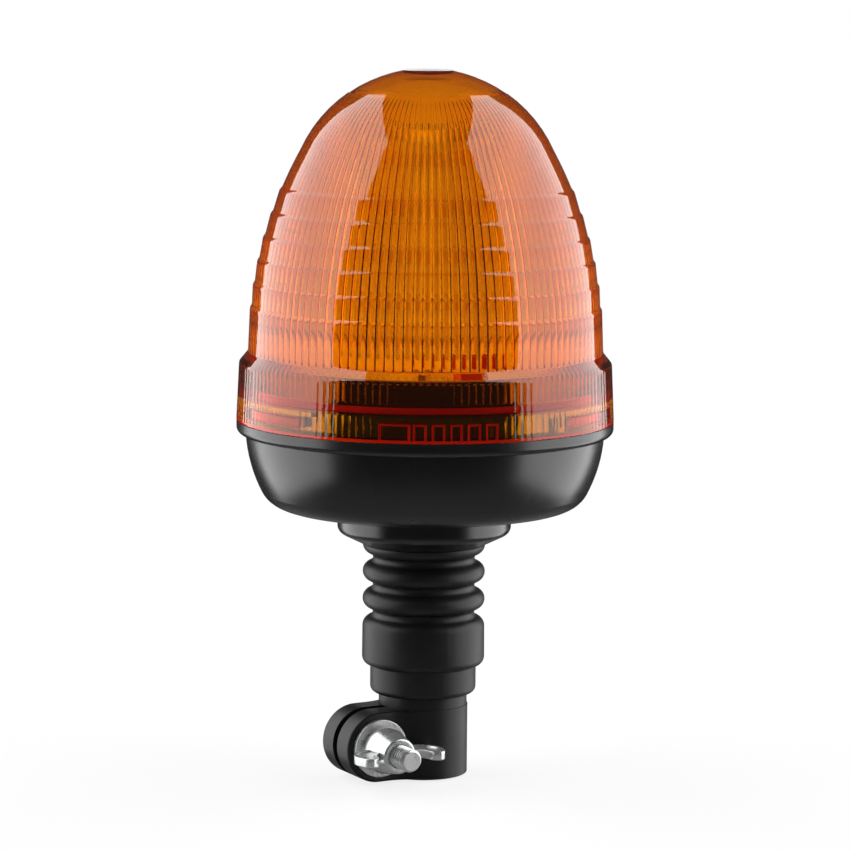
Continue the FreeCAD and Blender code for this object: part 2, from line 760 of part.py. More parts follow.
# Lens: skirt, shoulder, six stepped tiers and a ball crown, with lugs and ratchet teeth inside
lens = new_body("lens")
tier_radii = (d.tier_1, d.tier_2, d.tier_3, d.tier_4, d.tier_5, d.tier_6)
outside = [
    (d.skirt_bore_radius, d.lens_foot),
    (d.skirt_radius, d.lens_foot),
    (d.skirt_top_radius, d.skirt_top),
    (d.dome_foot_radius, d.dome_foot),
]
tier_round = (d.tier_drop * d.tier_drop + d.tier_ledge * d.tier_ledge) / (d.tier_ledge * 2)
for step, tier_radius in enumerate(tier_radii):
    step_height = d.tier_first + d.tier_pitch * step
    outside.append((tier_radius, step_height - d.tier_drop, tier_round))
    outside.append((tier_radius - d.tier_ledge, step_height))


def on_ball(ball_radius, across):
    """Height of the crown's ball at a distance from the axis."""
    return d.crown_centre + root(ball_radius * ball_radius - across * across)


flank_radius = size(140)
knee_rise = size(19.5)
knee_radius = root(d.crown_radius * d.crown_radius - knee_rise * knee_rise)
outside[-1] = (*outside[-1], flank_radius)
inner_crown = d.crown_radius - d.lens_wall
inner_rise = knee_rise - 1
inner_knee = root(inner_crown * inner_crown - inner_rise * inner_rise)
inner_foot = d.dome_foot_radius - d.lens_wall
lens_shoulder = deck_top
lens_step = ledge_top + d.easy_gap
crown_ring_top = on_ball(d.crown_radius, d.crown_ring_radius)
revolve(lens, outside + [
    (knee_radius, d.crown_centre + knee_rise, d.crown_radius),
    (d.crown_ring_radius, crown_ring_top),
    (d.crown_ring_radius - d.crown_ring_step, crown_ring_top, d.crown_radius),
    (d.button_radius, on_ball(d.crown_radius, d.button_radius)),
    (d.button_radius, d.button_top),
    (0, d.button_top),
    (0, d.crown_centre + inner_crown, -inner_crown),
    (inner_knee, d.crown_centre + inner_rise, d.lens_wall - flank_radius),
    (inner_foot, d.dome_foot),
    (inner_foot, lens_shoulder + d.seal_bore_radius - inner_foot),
    (d.seal_bore_radius, lens_shoulder),
    (d.seal_bore_radius, lens_step),
    (d.skirt_bore_radius, lens_step),
])
lug_gap = 0.3
lug_foot = d.lens_foot + 2.3
tooth_root = d.skirt_bore_radius + 0.4
lug = sketch_on(lens, "XY_Plane", lug_foot)
sector(lug, d.track_radius + lug_gap, tooth_root, d.lug_start, d.lug_sweep)
around(lens, extrude(lens, lug, d.ledge_foot - lug_gap - lug_foot), 3)
ratchet_depth = d.ledge_radius + d.easy_gap
ratchet_height = d.ledge_foot - lug_gap - d.lens_foot
long_tooth = sketch_on(lens, "XY_Plane", d.lens_foot)
sector(long_tooth, ratchet_depth, tooth_root, size(-133.1), size(9.4))
extrude(lens, long_tooth, ratchet_height)
short_tooth = sketch_on(lens, "XY_Plane", d.lens_foot)
sector(short_tooth, ratchet_depth, tooth_root, size(-122.4), size(3.9))
around(lens, extrude(lens, short_tooth, ratchet_height), 5, 22.0)

# White deck that closes the base, with holes for its screws, the tower's screws and the leads
tower_ring = 10.4
wire_hole = 4.0
deck_fit = collar_bore - d.easy_gap
deck_rim = d.spigot_radius - d.easy_gap * 2
deck = new_body("reflector_deck")
revolve(deck, [
    (wire_hole, deck_foot),
    (deck_fit, deck_foot),
    (deck_fit, d.spigot_top),
    (deck_rim, d.spigot_top),
    (deck_rim, deck_top),
    (wire_hole, deck_top),
])
for ring_at in (deck_ring, tower_ring):
    hole = sketch_on(deck, "XY_Plane", deck_top)
    circle(hole, ring_at, 0, screw_radius + d.running_gap)
    around(deck, extrude(deck, hole, d.deck_thick, cut=True), 3)

# Hexagonal heat sink with a board on each face and five lamps on each board
core_bore = 7.5
core_pilot_depth = 10.0
tower_top = deck_top + d.tower_height
core = new_body("tower_core")
core_foot = sketch_on(core, "XY_Plane", deck_top)
hexagon(core_foot, size(0), size(0), d.tower_flats)
circle(core_foot, 0, 0, core_bore)
extrude(core, core_foot, d.tower_height)
for end, upward in ((deck_top, True), (tower_top, False)):
    core_pilot = sketch_on(core, "XY_Plane", end)
    circle(core_pilot, tower_ring, 0, screw_radius + d.running_gap)
    around(core, extrude(core, core_pilot, core_pilot_depth, cut=True, backward=upward), 3)
board_half = 6.0
board_margin = 2.0
lamp_half = 2.5
lamp_thick = 1.6
lamp_rows = 5
face_out = d.tower_flats / 2
for face in range(6):
    face_turn = FreeCAD.Rotation(FreeCAD.Vector(0, 0, 1), 60 * face)
    board = new_body("led_board_%d" % (face + 1))
    sheet_face = sketch_on(board, "XZ_Plane", face_out)
    rectangle(sheet_face, -board_half, deck_top + board_margin, board_half, tower_top - board_margin)
    extrude(board, sheet_face, d.board_thick)
    place(board, 0, 0, 0, face_turn)
    leds = new_body("leds_%d" % (face + 1))
    windows = sketch_on(leds, "XZ_Plane", face_out + d.board_thick)
    for row in range(lamp_rows):
        middle = deck_top + d.tower_height * (row + 0.5) / lamp_rows
        rectangle(windows, -lamp_half, middle - lamp_half, lamp_half, middle + lamp_half)
    extrude(leds, windows, lamp_thick)
    place(leds, 0, 0, 0, face_turn)
cap_thick = 2.4
cap_overhang = 3.0
cap_top = tower_top + cap_thick
cap = new_body("tower_cap")
cap_foot = sketch_on(cap, "XY_Plane", tower_top)
hexagon(cap_foot, size(0), size(0), d.tower_flats + cap_overhang * 2)
extrude(cap, cap_foot, cap_thick)
cap_hole = sketch_on(cap, "XY_Plane", cap_top)
circle(cap_hole, tower_ring, 0, screw_radius + d.running_gap)
around(cap, extrude(cap, cap_hole, cap_thick, cut=True), 3)

# Plug on the deck that feeds the tower, with its two sockets
plug_height = 4.8
socket_depth = 3.0
plug = new_body("tower_plug")
plug_print = sketch_on(plug, "XY_Plane", deck_top)
rectangle(plug_print, -7.0, -37.5, 2.0, -30.5)
extrude(plug, plug_print, plug_height)
plug_sockets = sketch_on(plug, "XY_Plane", deck_top + plug_height)
for left in (-6.0, -2.0):
    rectangle(plug_sockets, left, -36.0, left + 3, -32.0)
extrude(plug, plug_sockets, socket_depth, cut=True)

# Driver board in the bowl and the parts soldered to it
driver_radius = 40.0
driver_thick = 1.6
driver_top = d.driver_height + driver_thick
driver = new_body("driver_board")
driver_face = sketch_on(driver, "XY_Plane", d.driver_height)
circle(driver_face, 0, 0, driver_radius)
extrude(driver, driver_face, driver_thick)
driver_hole = sketch_on(driver, "XY_Plane", driver_top)
circle(driver_hole, driver_ring, 0, screw_radius + d.running_gap)
around(driver, extrude(driver, driver_hole, driver_thick, cut=True), 3)

can_radius = 6.3
can_height = 18.0
can_crimp = 0.6
capacitor = new_body("smoothing_capacitor")
revolve(capacitor, [
    (0, 0),
    (can_radius, 0),
    (can_radius, can_height * 0.1, can_crimp * -1.4),
    (can_radius, can_height * 0.1 + can_crimp * 2),
    (can_radius, can_height - can_crimp, can_crimp),
    (can_radius - can_crimp, can_height),
    (0, can_height),
])
place(capacitor, 10.0, 22.0, driver_top)

drum_radius = 7.0
drum_waist = 5.6
drum_cheek = 1.5
drum_height = 9.0
choke = new_body("choke")
revolve(choke, [
    (0, 0),
    (drum_radius, 0),
    (drum_radius, drum_cheek),
    (drum_waist, drum_cheek),
    (drum_waist, drum_height - drum_cheek),
    (drum_radius, drum_height - drum_cheek),
    (drum_radius, drum_height),
    (0, drum_height),
])
place(choke, 15.0, -17.0, driver_top)

chip_thick = 1.8
chip = new_body("driver_chip")
chip_face = sketch_on(chip, "XY_Plane", driver_top)
rectangle(chip_face, -8.0, -5.0, 2.0, 3.0)
extrude(chip, chip_face, chip_thick)


# Screw groups: each screw has a round head on its seat and a plain shank
def screw_group(label, ring_at, seat, shank, head_up=True):
    group = new_body(label)
    one = sketch_on(group, "XZ_Plane")
    way = 1 if head_up else -1
    head_radius = 2.8
    head_top = seat + 1.8 * way
    outline(one, [
        (ring_at, seat - shank * way),
        (ring_at + screw_radius, seat - shank * way),
        (ring_at + screw_radius, seat),
        (ring_at + head_radius, seat),
        (ring_at + head_radius, head_top),
        (ring_at, head_top),
    ])
    low = FreeCAD.Vector(ring_at, 0, 0)
    axis = one.addGeometry(Part.LineSegment(low, low + FreeCAD.Vector(0, 10, 0)), True)
    bind(one, "DistanceX", (axis, 1), ring_at)
    bind(one, "DistanceY", (axis, 1), 0)
    bind(one, "DistanceX", (axis, 2), ring_at)
    bind(one, "DistanceY", (axis, 2), 10)
    turned = group.newObject("PartDesign::Revolution", label + "_turned")
    turned.Profile = one
    turned.ReferenceAxis = (one, ["Axis0"])
    turned.Angle = 360.0
    around(group, turned, 3)


screw_group("flange_screws", -screw_ring, floor_top, 9.5)
screw_group("deck_screws", deck_ring, deck_top, 12.0)
screw_group("driver_screws", driver_ring, driver_top, 10.0)
screw_group("tower_screws", tower_ring, deck_foot, 11.0, head_up=False)
screw_group("cap_screws", tower_ring, cap_top, 11.0)

doc.recompute()
faults = []
for thing in doc.Objects:
    if "Invalid" in thing.State or "Error" in thing.State:
        faults.append("%s is %s" % (thing.Label, thing.State))
for piece in pieces:
    if piece.Shape.isNull() or not piece.Shape.isValid() or not piece.Shape.Solids:
        faults.append("%s has no sound solid" % piece.Label)
if faults:
    raise RuntimeError("; ".join(faults))
os.makedirs("parts", exist_ok=True)
for piece in pieces:
    piece.Shape.exportStep("parts/%s.step" % piece.Label)
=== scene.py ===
"""Amber warning beacon on a flexible stem with a pole clamp, dressed around its solid model."""
import bmesh
import bpy
import math
from mathutils import Matrix, Quaternion, Vector


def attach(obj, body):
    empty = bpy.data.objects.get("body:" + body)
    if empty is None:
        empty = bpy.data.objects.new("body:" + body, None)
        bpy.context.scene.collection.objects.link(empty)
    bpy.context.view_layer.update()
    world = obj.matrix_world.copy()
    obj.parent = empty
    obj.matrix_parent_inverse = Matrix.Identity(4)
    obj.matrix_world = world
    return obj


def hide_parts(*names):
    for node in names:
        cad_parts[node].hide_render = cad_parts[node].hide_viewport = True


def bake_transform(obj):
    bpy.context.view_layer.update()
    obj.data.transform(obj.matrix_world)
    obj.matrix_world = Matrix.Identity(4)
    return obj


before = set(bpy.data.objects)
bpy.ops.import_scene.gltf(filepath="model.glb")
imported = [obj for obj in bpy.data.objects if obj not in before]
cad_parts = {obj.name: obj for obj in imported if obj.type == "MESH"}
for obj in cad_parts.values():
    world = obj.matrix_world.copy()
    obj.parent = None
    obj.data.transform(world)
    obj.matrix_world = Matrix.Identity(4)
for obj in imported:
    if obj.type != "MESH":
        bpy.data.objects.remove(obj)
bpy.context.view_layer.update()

# Pole clamp: a split ring with two ears and a tube above it, moulded in one piece from
# glass-filled nylon. The skin is satin black with the fine grain of an etched mould.
BLACK = (0.005, 0.005, 0.0055, 1.0)
BLACK_CLOUD = (0.008, 0.008, 0.0085, 1.0)
CLOUD_SCALE = 90.0
CLOUD_DETAIL = 3.0
CLOUD_DULLNESS = 0.12
SKIN_DETAIL = 2.0
SKIN_STRENGTH = 0.35
POLISHING = 0.8
POLISHED_ROUGHNESS = 0.05
POLISHED_IOR = 2.6


class Tone:
    """One value in a finish. Sums on tones add the nodes that work them out."""

    def __init__(self, tree, socket):
        self.tree = tree
        self.socket = socket

    def node(self, kind, settings, inputs, output=0):
        """A further node: its settings first, then the values or links of its sockets."""
        made = self.tree.nodes.new(kind)
        for name, value in settings.items():
            setattr(made, name, value)
        for name, value in inputs.items():
            if isinstance(value, Tone):
                self.tree.links.new(value.socket, made.inputs[name])
            else:
                made.inputs[name].default_value = value
        return Tone(self.tree, made.outputs[output]) if made.outputs else None

    def sum(self, operation, first, second):
        """A sum of two values, or the least, the most or the like of them."""
        return self.node("ShaderNodeMath", {"operation": operation}, {0: first, 1: second})

    def __add__(self, other):
        return self.sum("ADD", self, other)

    def __radd__(self, other):
        return self.sum("ADD", other, self)

    def __sub__(self, other):
        return self.sum("SUBTRACT", self, other)

    def __rsub__(self, other):
        return self.sum("SUBTRACT", other, self)

    def __mul__(self, other):
        return self.sum("MULTIPLY", self, other)

    def __rmul__(self, other):
        return self.sum("MULTIPLY", other, self)

    def between(self, dark, pale):
        """A colour between two others, by this value."""
        return self.node("ShaderNodeMix", {"data_type": "RGBA"}, {0: self, 6: dark, 7: pale}, 2)

    def noise(self, scale, detail):
        """Uneven spots over the piece, so many to the metre."""
        return self.node("ShaderNodeTexNoise", {}, {"Vector": self, "Scale": scale, "Detail": detail})

    def eased(self, start, end, first, last):
        """Goes smoothly from the first value to the last while this one goes from start to end."""
        return self.node("ShaderNodeMapRange", {"interpolation_type": "SMOOTHSTEP"}, {
            "Value": self, "From Min": start, "From Max": end, "To Min": first, "To Max": last})


def new_finish(name):
    """An empty material and the place on the piece that its patterns start from."""
    material = bpy.data.materials.new(name)
    material.use_nodes = True
    material.node_tree.nodes.clear()
    coordinates = material.node_tree.nodes.new("ShaderNodeTexCoord")
    return material, Tone(material.node_tree, coordinates.outputs["Object"])


def moulded(name, colour, cloud_colour, roughness, grain, depth, gloss=0.5, polished_above=None):
    """Moulded plastic or rubber: faint clouding, uneven gloss and a skin with its grain in spots to
    the metre. Above a height, where one is given, the mould is polished and the skin is bright."""
    material, place = new_finish(name)
    cloud = place.noise(CLOUD_SCALE, CLOUD_DETAIL)
    skin = place.noise(grain, SKIN_DETAIL)
    dullness = (cloud - 0.5) * CLOUD_DULLNESS + roughness
    polish = 0.0
    if polished_above:
        height = place.node("ShaderNodeSeparateXYZ", {}, {"Vector": place}, "Z")
        polish = place.sum("GREATER_THAN", height, polished_above)
        skin = skin * (1.0 - polish)
        dullness = dullness * (1.0 - polish * POLISHING)
    bump = place.node("ShaderNodeBump", {}, {"Strength": SKIN_STRENGTH, "Distance": depth, "Height": skin})
    shader = place.node("ShaderNodeBsdfPrincipled", {}, {
        "Base Color": cloud.between(colour, cloud_colour),
        "Roughness": dullness,
        "Specular IOR Level": gloss,
        "Coat Weight": polish,
        "Coat Roughness": POLISHED_ROUGHNESS,
        "Coat IOR": POLISHED_IOR,
        "Normal": bump,
    })
    place.node("ShaderNodeOutputMaterial", {}, {"Surface": shader})
    return material


def coat(material, *names):
    """Gives solid pieces their finish."""
    for name in names:
        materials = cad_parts[name].data.materials
        materials.clear()
        materials.append(material)


black_nylon = moulded("black_nylon", BLACK, BLACK_CLOUD, roughness=0.42, grain=2600.0, depth=0.00006,
                      gloss=0.24)
coat(black_nylon, "pole_clamp")

# Pole contacts at the top of the socket: a pale moulded carrier holds a sprung brass plunger
# under a brass terminal, and a brass ring on the pole's stop takes the earth.
CREAM = (0.62, 0.55, 0.42, 1.0)
CREAM_CLOUD = (0.68, 0.61, 0.48, 1.0)
BRASS = (0.68, 0.48, 0.2, 1.0)
BRASS_DULL = (0.55, 0.38, 0.17, 1.0)
PATCH_SCALE = 220.0
PATCH_DETAIL = 4.0
PATCH_DULLNESS = 0.16
LEAST_BLOOM = 0.6
MARK_DETAIL = 3.0
MARK_STRENGTH = 0.25


def plated(name, colour, dull_colour, roughness, marks, bloom, dents=0.00005):
    """Plated metal: a thin bloom, dull patches, fine drawing marks and small dents."""
    material, place = new_finish(name)
    patch = place.noise(PATCH_SCALE, PATCH_DETAIL)
    drawn = place.noise(marks, MARK_DETAIL)
    bump = place.node("ShaderNodeBump", {}, {"Strength": MARK_STRENGTH, "Distance": dents, "Height": drawn})
    shader = place.node("ShaderNodeBsdfPrincipled", {}, {
        "Base Color": patch.between(dull_colour, colour),
        "Metallic": 1.0 - (patch * (1.0 - LEAST_BLOOM) + LEAST_BLOOM) * bloom,
        "Roughness": patch * PATCH_DULLNESS + roughness,
        "Normal": bump,
    })
    place.node("ShaderNodeOutputMaterial", {}, {"Surface": shader})
    return material


cream_plastic = moulded("cream_plastic", CREAM, CREAM_CLOUD, roughness=0.5, grain=1800.0, depth=0.00004)
brass = plated("brass", BRASS, BRASS_DULL, roughness=0.2, marks=1400.0, bloom=0.1)
coat(cream_plastic, "contact_carrier")
coat(brass, "contact_plunger", "contact_terminal", "earth_contact")

# Clamp bolt: an M8 hexagon screw in bright zinc plate. Its head lies in the rear ear's pocket
# and its rolled thread runs out through the wing nut to a chamfered end.
MM = 0.001
ROUND = 2 * math.pi
ZINC = (0.6, 0.6, 0.59, 1.0)
ZINC_DULL = (0.4, 0.41, 0.42, 1.0)
BOLT_X = -22.2
BOLT_Z = 12.15
BOLT_LENGTH = 40.0
BOLT_CHAMFER = 0.8
HEAD_SEAT = 6.75
HEAD_FLATS = 13.0
HEAD_HEIGHT = 5.3
HEAD_EDGE = 0.35
SHANK = 4.0
SHANK_IN_HEAD = 1.0
SHANK_STEPS = 48
THREAD_ROOT = 3.23
THREAD_CREST = 3.96
THREAD_PITCH = 1.25
THREAD_FROM = 12.0
THREAD_STEPS = 36
SPARE_TURNS = 2
SAME_PLACE = 0.001
LEAST_EDGE = 0.0005
NEAR = 0.01
FACING = 0.9
head_seat = Matrix.Translation((BOLT_X * MM, HEAD_SEAT * MM, BOLT_Z * MM))
along_bolt = head_seat @ Matrix.Rotation(math.pi / 2, 4, "X")


def turned(corners, steps, segments=8):
    """A shape turned about Z from a closed section in millimetres. A corner is (radius, height),
    and a third entry rounds it."""
    shape = bmesh.new()
    ring = [shape.verts.new((corner[0] * MM, 0, corner[1] * MM)) for corner in corners]
    for here, there in zip(ring, ring[1:] + ring[:1]):
        shape.edges.new((here, there))
    for vert, corner in zip(ring, corners):
        if len(corner) == 3:
            bmesh.ops.bevel(shape, geom=[vert], offset=corner[2] * MM, affect="VERTICES",
                            segments=segments, profile=0.5, material=-1)
    bmesh.ops.spin(shape, geom=shape.verts[:] + shape.edges[:], cent=(0, 0, 0), axis=(0, 0, 1),
                   angle=ROUND, steps=steps, use_merge=True)
    bmesh.ops.remove_doubles(shape, verts=shape.verts[:], dist=SAME_PLACE * MM)
    bmesh.ops.dissolve_degenerate(shape, edges=shape.edges[:], dist=LEAST_EDGE * MM)
    bmesh.ops.recalc_face_normals(shape, faces=shape.faces[:])
    return shape


def as_object(name, shape, material):
    """Puts a shape in the scene with one finish."""
    mesh = bpy.data.meshes.new(name)
    shape.to_mesh(mesh)
    shape.free()
    mesh.materials.append(material)
    made = bpy.data.objects.new(name, mesh)
    bpy.context.scene.collection.objects.link(made)
    return made


def finished(name, shape, material, sharp=35.0):
    """Makes a shape a piece, smooth but for the edges that are sharper than an angle in degrees."""
    piece = as_object(name, shape, material)
    piece.data.shade_smooth()
    piece.data.set_sharp_from_angle(angle=math.radians(sharp))
    return piece


def joined(*shapes):
    """Several shapes as one."""
    whole = bmesh.new()
    for shape in shapes:
        part = bpy.data.meshes.new("part")
        shape.to_mesh(part)
        shape.free()
        whole.from_mesh(part)
        bpy.data.meshes.remove(part)
    return whole


def rolled_thread(start, end, root, crest, pitch):
    """A right-hand thread about Z, cut off flat at both ends and chamfered at the far one. A point
    of its tooth is a radius and a part of the pitch."""
    shape = bmesh.new()
    tooth = ((root, 0.0), (root, 0.1), (crest, 0.44), (crest, 0.56), (root, 0.9), (root, 1.0))
    line = [shape.verts.new((radius * MM, 0, (start + (part - SPARE_TURNS) * pitch) * MM))
            for radius, part in tooth]
    for here, there in zip(line, line[1:]):
        shape.edges.new((here, there))
    turns = int((end - start) / pitch) + 2 * SPARE_TURNS
    bmesh.ops.spin(shape, geom=shape.verts[:] + shape.edges[:], cent=(0, 0, 0), axis=(0, 0, 1),
                   dvec=(0, 0, pitch * MM / THREAD_STEPS), angle=ROUND * turns, steps=THREAD_STEPS * turns)
    bmesh.ops.remove_doubles(shape, verts=shape.verts[:], dist=NEAR * MM)
    for level, way in ((start, -1), (end, 1)):
        bmesh.ops.bisect_plane(shape, geom=shape.verts[:] + shape.edges[:] + shape.faces[:],
                               plane_co=(0, 0, level * MM), plane_no=(0, 0, way), clear_outer=True)
        rim = [edge for edge in shape.edges if edge.is_boundary
               and all(abs(vert.co.z - level * MM) < NEAR * MM for vert in edge.verts)]
        bmesh.ops.edgeloop_fill(shape, edges=rim)
    for vert in shape.verts:
        room = (crest - BOLT_CHAMFER + end) * MM - vert.co.z
        radius = vert.co.xy.length
        if radius > room:
            vert.co.xy *= room / radius
    bmesh.ops.recalc_face_normals(shape, faces=shape.faces[:])
    return shape


def hexagon_head(flats, height):
    """A hexagon head below Z = 0, with the edges of its outer face rounded."""
    shape = bmesh.new()
    corner = flats / math.sqrt(3) * MM
    bmesh.ops.create_cone(shape, cap_ends=True, segments=6, radius1=corner, radius2=corner,
                          depth=height * MM, matrix=Matrix.Translation((0, 0, -height / 2 * MM)))
    under = [face for face in shape.faces if face.normal.z < -FACING]
    bmesh.ops.bevel(shape, geom=[edge for face in under for edge in face.edges], offset=HEAD_EDGE * MM,
                    affect="EDGES", segments=3, profile=0.5, material=-1)
    return shape


zinc_plate = plated("zinc_plate", ZINC, ZINC_DULL, roughness=0.2, marks=500.0, bloom=0.27, dents=0.0002)
shank = turned([(0, -SHANK_IN_HEAD), (SHANK, -SHANK_IN_HEAD), (SHANK, THREAD_FROM), (0, THREAD_FROM)],
               SHANK_STEPS)
thread = rolled_thread(THREAD_FROM, BOLT_LENGTH, THREAD_ROOT, THREAD_CREST, THREAD_PITCH)
bolt_shape = joined(hexagon_head(HEAD_FLATS, HEAD_HEIGHT), shank, thread)
bmesh.ops.transform(bolt_shape, matrix=along_bolt, verts=bolt_shape.verts[:])
threaded_bolt = finished("threaded_bolt", bolt_shape, zinc_plate, sharp=30.0)
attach(threaded_bolt, "mount")
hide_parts("clamp_bolt")

# Washers under the nut: a stamped flat washer with one rolled edge and a split spring washer,
# both bright zinc plate. They move out along the bolt with the nut.
coat(zinc_plate, "clamp_washer", "lock_washer")

# Wing nut: cast with a tapered hub and two wings whose faces are sunk inside a raised rim,
# tumbled and zinc plated.
NUT_SEAT = 20.1
NUT_BORE = 4.05
HUB_FOOT = 8.0
HUB_FOOT_HEIGHT = 1.9
HUB_END = 6.0
HUB_TOP = 11.4
HUB_FOOT_EDGE = 0.5
HUB_END_EDGE = 0.7
HUB_BORE_EDGE = 0.3
HUB_STEPS = 64
WING_ROOT = 5.6
WING_FOOT = 2.0
WING_HEEL = 7.98
WING_ARCS = (((9.2, 2.6), 9.0), ((15.7, 7.5), 6.5), ((15.7, 13.8), 3.4), ((13.0, 17.0), 3.4),
             ((9.8, 13.4), -9.0))
WING_ARC_POINTS = 4
WING_THICK = 3.0
WING_RIM = 1.0
WING_SUNK = 0.7
WING_SLOPE = 0.3
WING_EDGE = 0.3
SHARP_FOLD = 0.5


def arc(start, end, radius, count):
    """Points along an arc between two corners, without its end. It bulges to the right of its way,
    or to the left where the radius is negative."""
    chord = Vector(end) - Vector(start)
    middle = (Vector(start) + Vector(end)) / 2
    left = Vector((-chord.y, chord.x)).normalized()
    centre = middle + left * math.copysign(math.sqrt(radius ** 2 - (chord.length / 2) ** 2), radius)
    first = Vector(start) - centre
    sweep = first.angle_signed(Vector(end) - centre)
    return [tuple(centre + Matrix.Rotation(-sweep * step / count, 2) @ first) for step in range(count)]


def wing(side):
    """One wing as a plate in the XZ plane: rounded outline, sunk faces, soft edges. An entry of
    WING_ARCS is where an arc starts and its radius."""
    ends = [start for start, radius in WING_ARCS[1:]] + [(WING_ROOT, WING_HEEL)]
    outline = [(WING_ROOT, WING_FOOT)]
    for (start, radius), end in zip(WING_ARCS, ends):
        outline += arc(start, end, radius, WING_ARC_POINTS)
    outline.append(ends[-1])
    shape = bmesh.new()
    rim = [shape.verts.new((across * side * MM, -WING_THICK / 2 * MM, up * MM)) for across, up in outline]
    plate = shape.faces.new(rim)
    grown = bmesh.ops.extrude_face_region(shape, geom=[plate])["geom"]
    far = [item for item in grown if isinstance(item, bmesh.types.BMVert)]
    bmesh.ops.translate(shape, verts=far, vec=(0, WING_THICK * MM, 0))
    bmesh.ops.recalc_face_normals(shape, faces=shape.faces[:])
    broad = [face for face in shape.faces if abs(face.normal.y) > FACING]
    bmesh.ops.inset_individual(shape, faces=broad, thickness=WING_RIM * MM)
    bmesh.ops.inset_individual(shape, faces=broad, thickness=WING_SLOPE * MM, depth=-WING_SUNK * MM)
    raised = (WING_THICK / 2 - WING_SUNK / 2) * MM
    rim_edges = [edge for edge in shape.edges if edge.calc_face_angle() > SHARP_FOLD
                 and all(abs(vert.co.y) > raised for vert in edge.verts)]
    bmesh.ops.bevel(shape, geom=rim_edges, offset=WING_EDGE * MM, affect="EDGES", segments=3, profile=0.5,
                    material=-1)
    return shape


hub = turned([(NUT_BORE, 0), (HUB_FOOT, 0, HUB_FOOT_EDGE), (HUB_FOOT, HUB_FOOT_HEIGHT, HUB_FOOT_EDGE),
              (HUB_END, HUB_TOP, HUB_END_EDGE), (NUT_BORE, HUB_TOP, HUB_BORE_EDGE)], HUB_STEPS)
nut_shape = joined(hub, wing(1), wing(-1))
bmesh.ops.transform(nut_shape, matrix=along_bolt @ Matrix.Translation((0, 0, NUT_SEAT * MM)),
                    verts=nut_shape.verts[:])
cast_wing_nut = finished("cast_wing_nut", nut_shape, zinc_plate, sharp=40.0)
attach(cast_wing_nut, "wing")
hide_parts("wing_nut")

# Contact spring: five turns of plated steel wire that press the plunger down from the terminal.
# On the socket its top bears on the terminal and its foot on the plunger, which closes the coil as it
# rises; here it is one fixed coil.
COIL = 3.3
COIL_WIRE = 0.35
COIL_FOOT = 41.25
COIL_TOP = 51.0
COIL_TURNS = 5
COIL_STEPS = 40
WIRE_SIDES = 12


def coil(radius, wire, foot, top, turns):
    """Round wire wound about Z between two heights, its ends cut off flat."""
    shape = bmesh.new()
    steps = COIL_STEPS * turns
    rise = top - foot - 2 * wire
    ring = []
    for side in range(WIRE_SIDES):
        turn = ROUND * side / WIRE_SIDES
        across = radius + wire * math.cos(turn)
        height = foot + wire + wire * math.sin(turn)
        ring.append(shape.verts.new((across * MM, 0, height * MM)))
    for here, there in zip(ring, ring[1:] + ring[:1]):
        shape.edges.new((here, there))
    bmesh.ops.spin(shape, geom=shape.verts[:] + shape.edges[:], cent=(0, 0, 0), axis=(0, 0, 1),
                   dvec=(0, 0, rise * MM / steps), angle=ROUND * turns, steps=steps)
    bmesh.ops.edgeloop_fill(shape, edges=[edge for edge in shape.edges if edge.is_boundary])
    bmesh.ops.recalc_face_normals(shape, faces=shape.faces[:])
    return shape


spring_shape = coil(COIL, COIL_WIRE, COIL_FOOT, COIL_TOP, COIL_TURNS)
coiled_spring = finished("coiled_spring", spring_shape, zinc_plate, sharp=50.0)
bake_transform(coiled_spring)
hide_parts("contact_spring")

# Flexible stem: one black rubber moulding, a sleeve and collar over the clamp's tube, three
# bellows rings and a plug inside the flange. It is shown as two lengths that meet in a groove,
# because the stem bends in two ways.
RUBBER = (0.004, 0.004, 0.0043, 1.0)
RUBBER_CLOUD = (0.009, 0.009, 0.0095, 1.0)
STEM_STEPS = 180
BORE = 12.6
LOWER_BORE_PARTS = 8
UPPER_BORE_PARTS = 12
SOCKET = 15.4
SOCKET_TOP = 50.2
SLEEVE = 18.35
SLEEVE_FOOT = 28.3
SLEEVE_ROUND = 2.2
SLEEVE_EDGE = 0.4
STEM_COLLAR = 21.25
STEM_COLLAR_FOOT = 38.2
STEM_COLLAR_ROUND = 2.8
STEM_COLLAR_BULGE = 51.6
RING = 21.15
RING_PITCH = 9.55
RING_ROUND = 3.3
RING_POINTS = 8
LOW_RING = STEM_COLLAR_BULGE + RING_PITCH
MIDDLE_RING = LOW_RING + RING_PITCH
HIGH_RING = MIDDLE_RING + RING_PITCH
GROOVE = 17.6
GROOVE_OFF = RING_PITCH / 2
GROOVE_ROUND = 1.686
GROOVE_POINTS = 6
SPLIT = LOW_RING + GROOVE_OFF
THROAT = 17.2
THROAT_FOOT = 80.4
PLUG = 22.5
PLUG_FOOT = 84.4
PLUG_TOP = 93.2
PARTING = math.radians(-95.5)
PARTING_WIDTH = math.radians(0.6)
PARTING_PROUD = 0.04
PARTING_LEAST = 17.1


def parting_line(shape):
    """Raises the fine seam that a two-part mould leaves on each side, outside a least radius."""
    for vert in shape.verts:
        radius = vert.co.xy.length
        turn = math.atan2(vert.co.y, vert.co.x) - PARTING
        off = (turn + math.pi / 2) % math.pi - math.pi / 2
        if radius > PARTING_LEAST * MM and abs(off) < PARTING_WIDTH:
            vert.co.xy *= 1 + PARTING_PROUD * MM / radius


